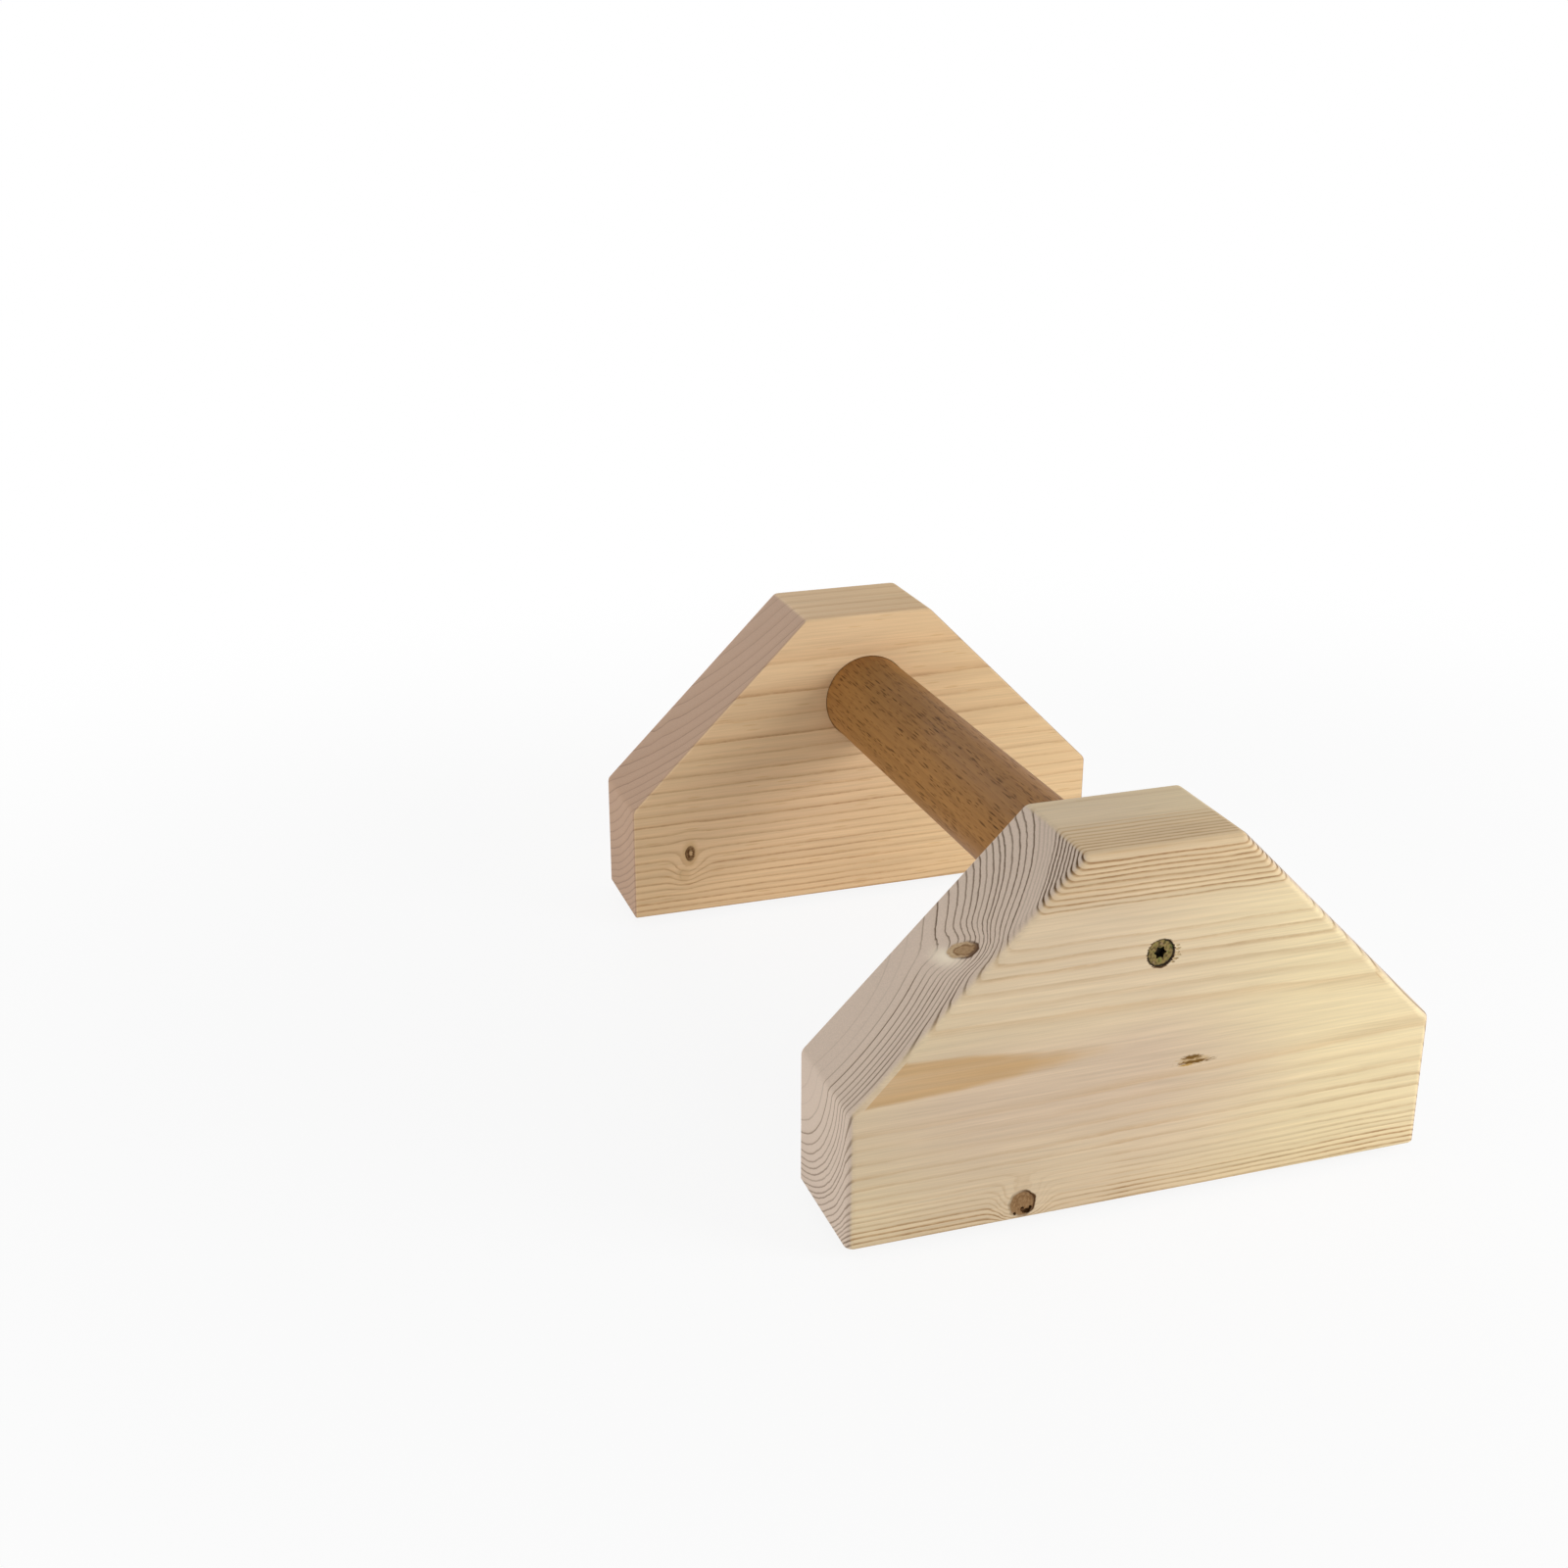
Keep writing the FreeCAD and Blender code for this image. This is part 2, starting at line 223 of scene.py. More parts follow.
class Nodes:
    """One material's node tree, with short calls for the nodes that it uses."""

    MIX_FACTOR, MIX_A, MIX_B, MIX_OUT = 0, 6, 7, 2
    SEED_STEPS = (1.0, 1.7, 2.3)

    def __init__(self, name):
        self.material = bpy.data.materials.new(name)
        self.material.use_nodes = True
        self.tree = self.material.node_tree
        self.shader = self.tree.nodes["Principled BSDF"]

    def add(self, kind, **settings):
        node = self.tree.nodes.new(kind)
        for key, value in settings.items():
            setattr(node, key, value)
        return node

    def feed(self, socket, value):
        """Link a socket to another, or set its constant."""
        if isinstance(value, bpy.types.NodeSocket):
            self.tree.links.new(value, socket)
        else:
            socket.default_value = value

    def set(self, **values):
        """Set the shader's sockets, with _ for a space in a name."""
        for key, value in values.items():
            self.feed(self.shader.inputs[key.replace("_", " ")], value)

    def math(self, operation, *values):
        node = self.add("ShaderNodeMath", operation=operation)
        for socket, value in zip(node.inputs, values):
            self.feed(socket, value)
        return node.outputs[0]

    def chain(self, operation, values):
        result = values[0]
        for value in values[1:]:
            result = self.math(operation, result, value)
        return result

    def total(self, *values):
        return self.chain("ADD", values)

    def times(self, *values):
        return self.chain("MULTIPLY", values)

    def most(self, *values):
        return self.chain("MAXIMUM", values)

    def absolute(self, value):
        return self.math("ABSOLUTE", value)

    def rest(self, share):
        """What a share leaves of 1."""
        return self.math("SUBTRACT", 1.0, share)

    def vector(self, operation, *values):
        node = self.add("ShaderNodeVectorMath", operation=operation)
        for socket, value in zip(node.inputs, values):
            self.feed(socket, value)
        scalar = operation in ("LENGTH", "DOT_PRODUCT", "DISTANCE")
        return node.outputs["Value" if scalar else "Vector"]

    def scale(self, vector, amount):
        """A vector or colour times a number."""
        node = self.add("ShaderNodeVectorMath", operation="SCALE")
        self.feed(node.inputs[0], vector)
        self.feed(node.inputs["Scale"], amount)
        return node.outputs["Vector"]

    def place(self):
        """Position in the part's frame, in millimetres."""
        return self.scale(self.add("ShaderNodeTexCoord").outputs["Object"], PER_METRE)

    def normal(self):
        return self.add("ShaderNodeTexCoord").outputs["Normal"]

    def split(self, vector):
        node = self.add("ShaderNodeSeparateXYZ")
        self.feed(node.inputs[0], vector)
        return node.outputs

    def join(self, x, y, z):
        node = self.add("ShaderNodeCombineXYZ")
        for socket, value in zip(node.inputs, (x, y, z)):
            self.feed(socket, value)
        return node.outputs[0]

    def shifted(self, place, pattern, seed):
        """A place in a pattern's own scale, moved by its seed and another."""
        shift = tuple((pattern.seed + seed) * step for step in self.SEED_STEPS)
        return self.vector("MULTIPLY_ADD", place, pattern.rates, shift)

    def noise(self, place, pattern, seed=0.0):
        """Smooth noise within a pattern's swing of its middle."""
        node = self.add("ShaderNodeTexNoise")
        self.feed(node.inputs["Vector"], self.shifted(place, pattern, seed))
        self.feed(node.inputs["Scale"], 1.0)
        self.feed(node.inputs["Detail"], pattern.detail)
        return self.math("MULTIPLY_ADD", node.outputs[0], 2 * pattern.swing, pattern.middle - pattern.swing)

    def cells(self, place, pattern, seed=0.0):
        """Distance to the nearest of many scattered points, and that point's own random number."""
        node = self.add("ShaderNodeTexVoronoi")
        self.feed(node.inputs["Vector"], self.shifted(place, pattern, seed))
        self.feed(node.inputs["Scale"], 1.0)
        return node.outputs["Distance"], self.split(node.outputs["Color"])[0]

    def random(self, value):
        """One random number from 0 to 1 for each whole number."""
        node = self.add("ShaderNodeTexWhiteNoise", noise_dimensions="1D")
        self.feed(node.inputs["W"], value)
        return node.outputs["Value"]

    def smooth(self, value, low, high, at_low=0.0, at_high=1.0):
        """A smooth step from one value at low to another at high."""
        node = self.add("ShaderNodeMapRange", interpolation_type="SMOOTHSTEP")
        self.feed(node.inputs["Value"], value)
        self.feed(node.inputs["From Min"], low)
        self.feed(node.inputs["From Max"], high)
        self.feed(node.inputs["To Min"], at_low)
        self.feed(node.inputs["To Max"], at_high)
        return node.outputs[0]

    def spread(self, value, middle, swing):
        """Noise from -1 to 1 turned into a number round the middle."""
        return self.math("MULTIPLY_ADD", value, swing, middle)

    def mix(self, factor, first, second):
        node = self.add("ShaderNodeMix", data_type="RGBA")
        self.feed(node.inputs[self.MIX_FACTOR], factor)
        self.feed(node.inputs[self.MIX_A], first)
        self.feed(node.inputs[self.MIX_B], second)
        return node.outputs[self.MIX_OUT]

    def bump(self, height, depth):
        """Relief of a height from 0 to 1, whose depth is in millimetres."""
        node = self.add("ShaderNodeBump")
        self.feed(node.inputs["Strength"], 1.0)
        self.feed(node.inputs["Distance"], depth * MM)
        self.feed(node.inputs["Height"], height)
        self.set(Normal=node.outputs[0])


# Softwood, as linear colours
EARLYWOOD = (0.80, 0.66, 0.405, 1)
# Pinker and darker wood for the middle of the board, partly painted shade
BLUSH_AND_SHADE = (0.655, 0.505, 0.36, 1)
TANWOOD = (0.68, 0.49, 0.285, 1)
DUSKWOOD = (0.58, 0.375, 0.185, 1)
LATEWOOD = (0.36, 0.205, 0.09, 1)
END_EARLYWOOD = (0.625, 0.492, 0.385, 1)
END_DUSKWOOD = (0.51, 0.37, 0.255, 1)
END_LATEWOOD = (0.085, 0.043, 0.014, 1)
KNOT_HEART = (0.38, 0.235, 0.11, 1)
KNOT_RING = (0.22, 0.115, 0.045, 1)
KNOT_PALE = (0.53, 0.37, 0.21, 1)
KNOT_BARK = (0.070, 0.024, 0.001, 1)
HALO = (0.86, 0.74, 0.56, 1)
RESIN = (0.48, 0.28, 0.06, 1)
PITCH = (0.145, 0.064, 0.002, 1)
RAW_WOOD = (0.84, 0.70, 0.45, 1)
RAW_SHADE = (0.40, 0.26, 0.11, 1)

# How rings wander, and the grain that runs along them
RING_WANDERS = (
    Pattern((0.012, 0.006, 0.012), swing=0.8),
    Pattern((0.10, 0.012, 0.10), seed=3.1, swing=0.45),
    Pattern((0.10, 0.045, 0.10), seed=4.9, swing=0.25),
    Pattern((0.60, 0.06, 0.60), seed=5.3, detail=3.0, swing=0.22),
)
RING_DRIFT = Pattern((0.03, 0.03, 0.03), seed=6.6, detail=4.0, swing=0.12)
FIBRES = Pattern((1.9, 0.035, 1.9), seed=7.7, detail=4.0)
THREADS = Pattern((0.85, 0.022, 0.85), seed=11.2, detail=3.0)
STREAKS = Pattern((0.35, 0.012, 0.35), seed=6.1, detail=3.0)
PORES = Pattern((2.6, 2.6, 2.6), seed=8.9, detail=3.0)
CLOUD = Pattern((0.016, 0.007, 0.022), seed=1.3)
MOTTLE = Pattern((0.03, 0.012, 0.03), seed=4.4, swing=0.07)
RESIN_CANALS = Pattern((0.55, 0.045, 0.55), seed=2.2)
LINE_BREAKS = (
    Pattern((0.05, 0.014, 0.05), seed=9.5, detail=3.0, swing=0.75, middle=0.78),
    Pattern((0.50, 0.11, 0.50), seed=12.4, detail=3.0, swing=0.70, middle=0.85),
    Pattern((1.60, 0.40, 1.60), seed=13.7, detail=3.0, swing=0.80, middle=0.90),
)

# How much the grain changes the tone, and how much of it is relief
FIBRE_TONE = 0.16
THREAD_TONE = 0.08
STREAK_TONE = 0.10
PORE_TONE = 0.20
GRAIN_RELIEF = 0.30

# Scale of the growth records, slowest growth in rings per millimetre, and how far rings part round a knot
GROWTH_SPAN = 180.0
GROWTH_RINGS = 60.0
SLOWEST_GROWTH = 0.1
PARTING_LIMIT = 4.0

# Names that end in STEP hold a low and a high place and the values there, as Nodes.smooth takes them

# Rings wander less near the height of the pith, where a face only grazes them and would tear them up
GRAZING_STEP = (4.0, 26.0, 0.10, 1.0)

# How strong a ring's border is at least on the end grain, and by luck
END_LEAST = 0.58
HALF_RING = 0.5
LUCK_POWER = 1.6

# Borders beyond the bold radius, away from a marked radius, and inside the plain radius
BOLD_STEP = (-0.5, 0.5)
BOLD_SWING = 0.50
MARKED_STEP = (0.6, 0.9)
PLAIN_STEP = (-4.0, 0.0, 0.2, 1.0)

# Borders between the pale radii, by radius and by height above the pith, and in a calm place
PALE_IN_STEP = (-1.0, 1.0)
PALE_OUT_STEP = (-1.0, 1.0, 1.0, 0.0)
PALE_HEIGHT_STEP = (10.0, 30.0)
PALE_END_LOSS = 0.70
PALE_FACE_LOSS = 0.92
CALM_CORE = 0.4

# The tan dusk before a border, by part of a ring, and its end beyond the border
DUSK_STEP = (0.45, 1.0)
DUSK_POWER = 1.4
BEYOND_STEP = (0.0, 0.20, 1.0, 0.0)
END_DUSK = 0.35

# Long faces: where a ring lies flat in the face it is a broad tan patch and its line is weak, as on top
FLAT_STEP = (0.985, 0.994)
FLAT_TONE = 0.95
FLAT_SWING = 0.35
FLAT_LINE_STEP = (0.78, 0.99, 1.0, 0.15)
TOP_LINE_STEP = (0.6, 0.95, 1.0, 0.5)
LINE_BEYOND = 0.45

# End grain: how far a face has turned to the ends, and how dark a line is inside its border and by height
END_STEP = (0.32, 0.69)
END_LINE_STEP = (0.14, 0.62, 1.0, 0.0)
END_HEIGHT_STEP = (-20.0, 5.0, 0.68, 1.0)
END_LINE_TONE = 0.92
END_LINE_SWING = 0.40

# The pinker, darker middle of the board from right to left, above and below, with clouds that shift its
# right end: partly a pinker tone of the wood, partly painted shade
BLUSH_SHADE_RIGHT_STEP = (-15.0, 75.0, 1.0, 0.0)
BLUSH_SHADE_LEFT_STEP = (-110.0, -55.0, 0.60, 1.0)
BLUSH_SHADE_UPPER_STEP = (57.0, 75.0, 1.2, 0.74)
BLUSH_SHADE_LOWER_STEP = (5.0, 50.0, 0.60, 1.0)
CLOUD_SHIFT = 45.0
CLOUD_SWING = 0.35

# Tan wood from the bold radius outwards and above the pith, and canals with a little resin in some cells
TAN_STEP = (-4.0, 6.0, 0.0, 0.60)
TAN_HEIGHT_STEP = (-20.0, 20.0, 0.35, 1.0)
CANAL_STEP = (0.10, 0.20, 0.25, 0.0)
CANAL_CHANCE_STEP = (0.55, 0.60)

# Knots: ragged outline, fibres along the branch, halo and the fading of rings on that side, in millimetres
KNOT_RAGGED_RATE = 0.45
KNOT_RAGGED_SHARE = 0.20
KNOT_FLOW = 0.15
KNOT_FIBRES = Pattern((1.5, 1.5, 1.5), detail=4.0)
KNOT_WOBBLE = Pattern((0.55, 0.55, 0.55), seed=3.0, detail=3.0, swing=0.30)
KNOT_START_STEP = (-3.0, 3.0)
HALO_SIDE_STEP = (0.1, 0.7)
HALO_GAP = 0.5
HALO_REACH = 5.0
FADE_REACH = 13.0

# Glow and outline of a knot, by share of its radius
KNOT_GLOW_STEP = (0.9, 2.4, 1.0, 0.0)
KNOT_WITHIN_STEP = (0.85, 1.05, 1.0, 0.0)

# A knot's core, which leans to the dark side, and the core's dark edge
CORE_LEAN = -0.35
CORE_STEP = (0.48, 0.60, 0.15, 0.0)
CORE_EDGE = 0.54
CORE_EDGE_STEP = (0.03, 0.14, 1.0, 0.0)

# A knot's brown rim, its ripples in radians per millimetre, and how much its fibres darken it
RIM_STEP = (0.70, 0.98, 0.0, 0.6)
RIPPLE_RATE = 5.0
RIPPLE = 0.20
HEART_SWING = 0.90

# Pale fibres of a knot off the core and off the dark side, and the dark tip
FADED_CORE_STEP = (0.56, 0.70)
FADED_SIDE_STEP = (0.85, 0.30)
FADED_TONE = 0.75
FADED_SWING = -0.90
TIP_STEP = (0.50, 0.95)

# Bark round a knot, by share of its radius and as a width in millimetres, stronger on the dark side
BARK_CORE = 0.03
BARK_SHARE = 0.09
BARK_WIDTH = 0.32
BARK_SIDE_STEP = (-0.4, 0.9)

# Ragged streaks, the dark rim of a screw hole by distance from the head, and torn fibres
# The dark rim is a painted shadow of the gap round the head, partly stained crushed fibres
STREAK_EDGE = Pattern((0.9, 0.70, 2.2), detail=4.0, swing=0.8)
STREAK_STEP = (0.35, 1.0)
BRUISE_SHADE_EDGE = Pattern((0.8, 0.35, 2.4), seed=4.0, detail=4.0, swing=0.9)
BRUISE_SHADE_LIMIT = 0.15
BRUISE_SHADE_STEP = (0.05, 0.40, 0.95, 0.0)
SPLINTERS = Pattern((2.0, 0.5, 3.0), seed=3.0, detail=4.0)
SPLINTER_STEP = (-0.3, 0.4)


def find_cut(nodes, log):
    """How the face at the shaded point lies in the log."""
    place = nodes.place()
    normal = nodes.normal()
    x, y, z = nodes.split(place)
    above_pith = nodes.total(z, -log.pith_z)
    outwards = nodes.join(nodes.total(x, -log.pith_x, nodes.times(y, log.lean)), 0.0, above_pith)
    straight_out = nodes.vector("NORMALIZE", outwards)
    flatness = nodes.absolute(nodes.vector("DOT_PRODUCT", straight_out, normal))
    end = nodes.smooth(nodes.absolute(nodes.split(normal)[1]), *END_STEP)
    return Cut(place, normal, outwards, above_pith, flatness, end, nodes.rest(end))


def branch(nodes, place, log, knot):
    """Where the shaded point lies by a knot's branch."""
    root = Vector((log.pith_x, knot.spot[1], log.pith_z))
    line = (Vector(knot.spot) - root).normalized()
    offset = nodes.vector("SUBTRACT", place, tuple(root))
    out = nodes.vector("DOT_PRODUCT", offset, tuple(line))
    beside = nodes.vector("SUBTRACT", offset, nodes.scale(tuple(line), out))
    squeezed = nodes.vector("MULTIPLY", beside, (1, 1 / knot.stretch, 1))
    ragged = Pattern(
        (KNOT_RAGGED_RATE, KNOT_RAGGED_RATE / knot.stretch, KNOT_RAGGED_RATE),
        detail=3.0,
        swing=KNOT_RAGGED_SHARE * knot.radius,
    )
    edge = nodes.noise(place, ragged, log.seed + knot.radius)
    gap = nodes.total(nodes.vector("LENGTH", squeezed), edge)
    towards = nodes.vector("NORMALIZE", beside)
    facing = nodes.vector("DOT_PRODUCT", towards, tuple(Vector(knot.dark_side).normalized()))
    by_halo = nodes.vector("DOT_PRODUCT", towards, tuple(Vector(knot.halo_side).normalized()))
    flow = nodes.vector("ADD", beside, nodes.scale(tuple(line), nodes.times(out, KNOT_FLOW)))
    return Limb(knot, gap, out, facing, by_halo, flow)


def by_halo_side(nodes, limb, reach):
    """1 beside a knot on its halo side and 0 farther from it than the reach or on the other sides."""
    edge = limb.knot.radius
    return nodes.times(
        nodes.smooth(limb.by_halo, *HALO_SIDE_STEP),
        nodes.smooth(limb.beside, edge + HALO_GAP, edge + reach, 1.0, 0.0),
    )


def ring_radius(nodes, log, cut, limbs):
    """Radius about the pith, with rings that wander, climb along each branch and part round it."""
    wander = nodes.total(*[nodes.noise(cut.place, pattern, log.seed) for pattern in RING_WANDERS])
    wander = nodes.times(wander, nodes.smooth(nodes.absolute(cut.above_pith), *GRAZING_STEP))
    drift = nodes.noise(cut.place, RING_DRIFT, log.seed)
    radius = nodes.total(nodes.vector("LENGTH", cut.outwards), wander, drift)
    for limb in limbs:
        knot = limb.knot
        outside = nodes.most(nodes.total(limb.beside, -knot.radius), 0.0)
        share = nodes.times(outside, 1 / knot.reach)
        near = nodes.math("EXPONENT", nodes.times(share, share, -1.0))
        spot_radius = math.hypot(knot.spot[0] - log.pith_x, knot.spot[2] - log.pith_z)
        away = nodes.math("MINIMUM", nodes.total(radius, -spot_radius), PARTING_LIMIT)
        away = nodes.most(away, -PARTING_LIMIT)
        climb = nodes.times(near, nodes.spread(away, knot.lift, knot.parting))
        radius = nodes.math("SUBTRACT", radius, climb)
    return radius


def ring_count(nodes, log, radius):
    """How many rings lie inside a radius, read off the log's growth record."""
    curve = nodes.add("ShaderNodeFloatCurve")
    points = curve.mapping.curves[0].points
    for inner, rings in log.growth[1:-1]:
        points.new(inner / GROWTH_SPAN, rings / GROWTH_RINGS)
    for point, (inner, rings) in zip((points[0], points[-1]), (log.growth[0], log.growth[-1])):
        point.location = (inner / GROWTH_SPAN, rings / GROWTH_RINGS)
    for point in points:
        point.handle_type = "AUTO_CLAMPED"
    curve.mapping.update()
    nodes.feed(curve.inputs["Value"], nodes.times(radius, 1 / GROWTH_SPAN))
    return nodes.times(curve.outputs[0], GROWTH_RINGS)


def ring_vigour(nodes, log, radius, number):
    """How dark the ring border next to a point is, from 0 to 1, on the end grain and on a long face."""
    chance = nodes.random(nodes.math("FLOOR", nodes.total(number, log.seed + HALF_RING)))
    beyond_bold = nodes.smooth(nodes.total(radius, -log.bold), *BOLD_STEP)
    bold = nodes.times(beyond_bold, nodes.spread(chance, 1.0, BOLD_SWING))
    for marked, strength in log.marked:
        off = nodes.absolute(nodes.total(radius, -marked))
        bold = nodes.most(bold, nodes.smooth(off, *MARKED_STEP, strength, 0.0))
    luck = nodes.math("POWER", chance, LUCK_POWER)
    grown = nodes.smooth(nodes.total(radius, -log.plain), *PLAIN_STEP)
    vigours = []
    for share, least in ((1.0, END_LEAST), (log.stray, log.least)):
        luckiest = nodes.most(nodes.times(luck, share), bold)
        vigours.append(nodes.times(nodes.spread(luckiest, least, 1 - least), grown))
    return vigours


def find_rings(nodes, log, cut, limbs):
    """The rings at the shaded point, weaker where they are pale, beside a halo and in the calm places."""
    radius = ring_radius(nodes, log, cut, limbs)
    number = ring_count(nodes, log, radius)
    part = nodes.math("FRACT", number)
    growth = nodes.math("SUBTRACT", ring_count(nodes, log, nodes.total(radius, 1.0)), number)
    width = nodes.math("DIVIDE", 1.0, nodes.most(growth, SLOWEST_GROWTH))
    vigour, face_vigour = ring_vigour(nodes, log, radius, number)
    pale = nodes.times(
        nodes.smooth(nodes.total(radius, -log.pale[0]), *PALE_IN_STEP),
        nodes.smooth(nodes.total(radius, -log.pale[1]), *PALE_OUT_STEP),
        nodes.smooth(cut.above_pith, *PALE_HEIGHT_STEP),
    )
    vigour = nodes.times(vigour, nodes.spread(pale, 1.0, -PALE_END_LOSS))
    face_vigour = nodes.times(face_vigour, nodes.spread(pale, 1.0, -PALE_FACE_LOSS))
    for limb in limbs:
        faded = nodes.times(by_halo_side(nodes, limb, FADE_REACH), limb.knot.halo)
        vigour = nodes.times(vigour, nodes.rest(faded))
    for calm in log.calm:
        distance = nodes.vector("DISTANCE", cut.place, calm.spot)
        left = nodes.smooth(distance, calm.reach * CALM_CORE, calm.reach, calm.share, 1.0)
        face_vigour = nodes.times(face_vigour, left)
    inside = nodes.times(nodes.rest(part), width)
    beyond = nodes.times(part, width)
    return Rings(radius, part, inside, beyond, vigour, face_vigour)


def ring_dusk(nodes, rings):
    """How far a ring has turned to latewood, up to its border and a little beyond."""
    rise = nodes.math("POWER", nodes.smooth(rings.part, *DUSK_STEP), DUSK_POWER)
    return nodes.most(rise, nodes.smooth(rings.beyond, *BEYOND_STEP))


def face_line(nodes, log, cut, rings):
    """How dark the broken line of a ring's border is on a long face."""
    width = nodes.smooth(rings.radius, log.plain, log.bold, *log.line)
    return nodes.times(
        nodes.most(
            nodes.smooth(rings.inside, 0.0, width, 1.0, 0.0),
            nodes.smooth(rings.beyond, 0.0, nodes.times(width, LINE_BEYOND), 1.0, 0.0),
        ),
        rings.face_vigour,
        *[nodes.noise(cut.place, pattern, log.seed) for pattern in LINE_BREAKS],
        nodes.smooth(nodes.split(cut.normal)[2], *TOP_LINE_STEP),
        nodes.smooth(cut.flatness, *FLAT_LINE_STEP),
    )


def board_colour(nodes, log, cut, rings):
    """Colour of a long face between the lines: pale, pinker with painted shade in the middle, tan in outer
    rings.
    """
    _, y, z = nodes.split(cut.place)
    cloud = nodes.noise(cut.place, CLOUD, log.seed)
    # Pinker and darker in the middle of the board: partly a pinker tone, partly painted shade
    blush_and_shade = nodes.times(
        nodes.smooth(nodes.spread(cloud, y, CLOUD_SHIFT), *BLUSH_SHADE_RIGHT_STEP),
        nodes.smooth(y, *BLUSH_SHADE_LEFT_STEP),
        nodes.smooth(z, *BLUSH_SHADE_UPPER_STEP),
        nodes.smooth(z, *BLUSH_SHADE_LOWER_STEP),
        nodes.spread(cloud, 1.0, CLOUD_SWING),
        log.blush_and_shade,
    )
    tan = nodes.times(
        nodes.smooth(nodes.total(rings.radius, -log.bold), *TAN_STEP),
        nodes.smooth(cut.above_pith, *TAN_HEIGHT_STEP),
    )
    return nodes.mix(tan, nodes.mix(blush_and_shade, EARLYWOOD, BLUSH_AND_SHADE), TANWOOD)


def face_colour(nodes, log, cut, grain, rings, line):
    """Colour of a long face: the board, with tan and then a dark line in each ring, and resin canals."""
    flat = nodes.times(
        nodes.smooth(cut.flatness, *FLAT_STEP),
        nodes.spread(grain.streaks, FLAT_TONE, FLAT_SWING),
    )
    dusk = nodes.times(ring_dusk(nodes, rings), nodes.most(nodes.times(rings.face_vigour, log.dusk), flat))
    gap, chance = nodes.cells(cut.place, RESIN_CANALS, log.seed)
    canals = nodes.times(nodes.smooth(gap, *CANAL_STEP), nodes.smooth(chance, *CANAL_CHANCE_STEP))
    colour = nodes.mix(dusk, board_colour(nodes, log, cut, rings), DUSKWOOD)
    colour = nodes.mix(line, colour, LATEWOOD)
    return nodes.mix(canals, colour, RESIN)


def end_colour(nodes, log, cut, grain, rings):
    """Colour of the end grain, with a dark line in each ring, darkened by the log's end_shade as painted
    shade.
    """
    line = nodes.times(
        nodes.most(nodes.smooth(rings.inside, *END_LINE_STEP), nodes.smooth(rings.beyond, *BEYOND_STEP)),
        rings.vigour,
        nodes.spread(grain.pores, END_LINE_TONE, END_LINE_SWING),
        nodes.smooth(cut.above_pith, *END_HEIGHT_STEP),
        log.end_line,
    )
    dusk = nodes.times(ring_dusk(nodes, rings), rings.vigour, END_DUSK)
    colour = nodes.mix(line, nodes.mix(dusk, END_EARLYWOOD, END_DUSKWOOD), END_LATEWOOD)
    return nodes.vector("MULTIPLY", colour, log.end_shade)


def knot_heart(nodes, limb, share):
    """Colour inside a knot: brown fibres with a dark core, an outline round it, ripples and a dark tip."""
    knot, facing = limb.knot, limb.facing
    fibres = nodes.noise(limb.flow, KNOT_FIBRES, knot.radius)
    wobble = nodes.noise(limb.flow, KNOT_WOBBLE, knot.radius)
    off_core = nodes.total(nodes.times(share, nodes.spread(facing, 1.0, CORE_LEAN)), wobble)
    from_edge = nodes.absolute(nodes.total(off_core, -CORE_EDGE))
    ripple = nodes.math("SINE", nodes.times(limb.beside, RIPPLE_RATE))
    brown = nodes.most(
        nodes.smooth(off_core, *CORE_STEP),
        knot.dark,
        nodes.smooth(from_edge, *CORE_EDGE_STEP),
        nodes.smooth(share, *RIM_STEP),
        nodes.spread(ripple, RIPPLE, RIPPLE),
    )
    heart = nodes.mix(nodes.spread(fibres, brown, HEART_SWING), KNOT_HEART, KNOT_RING)
    faded = nodes.times(
        nodes.smooth(off_core, *FADED_CORE_STEP),
        nodes.smooth(facing, *FADED_SIDE_STEP),
        nodes.spread(fibres, FADED_TONE, FADED_SWING),
        knot.fade,
    )
    heart = nodes.mix(faded, heart, KNOT_PALE)
    tip = nodes.smooth(nodes.times(share, facing), *TIP_STEP, 0.0, knot.tip)
    return nodes.mix(tip, heart, KNOT_BARK)


def with_knot(nodes, colour, limb):
    """A colour with a knot over it: tan glow, pale halo, heart and dark bark."""
    knot = limb.knot
    grown = nodes.smooth(nodes.total(limb.out, -knot.start), *KNOT_START_STEP)
    share = nodes.times(limb.beside, 1 / knot.radius)
    glow = nodes.times(nodes.smooth(share, *KNOT_GLOW_STEP), grown, knot.glow)
    colour = nodes.mix(glow, colour, DUSKWOOD)
    halo = nodes.times(by_halo_side(nodes, limb, HALO_REACH), grown, knot.halo)
    colour = nodes.mix(halo, colour, HALO)
    within = nodes.times(nodes.smooth(share, *KNOT_WITHIN_STEP), grown, knot.depth)
    colour = nodes.mix(within, colour, knot_heart(nodes, limb, share))
    from_edge = nodes.absolute(nodes.total(share, -1.0))
    bark = nodes.smooth(from_edge, BARK_CORE, BARK_SHARE + BARK_WIDTH / knot.radius, 1.0, 0.0)
    dark = nodes.smooth(limb.facing, *BARK_SIDE_STEP, knot.bark, knot.seam)
    return nodes.mix(nodes.times(bark, grown, dark), colour, KNOT_BARK)


def with_streak(nodes, colour, place, streak):
    """A colour with a ragged streak over it."""
    offset = nodes.vector("DIVIDE", nodes.vector("SUBTRACT", place, streak.spot), streak.size)
    ragged = nodes.noise(place, STREAK_EDGE, streak.spot[2])
    gap = nodes.total(nodes.vector("LENGTH", offset), ragged)
    return nodes.mix(nodes.smooth(gap, *STREAK_STEP, streak.strength, 0.0), colour, streak.colour)


def screw_head(screw):
    """Middle of a screw and radius of its head, in millimetres."""
    low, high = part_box(screw)
    return (low + high) / 2 * PER_METRE, (high.y - low.y) / 2 * PER_METRE


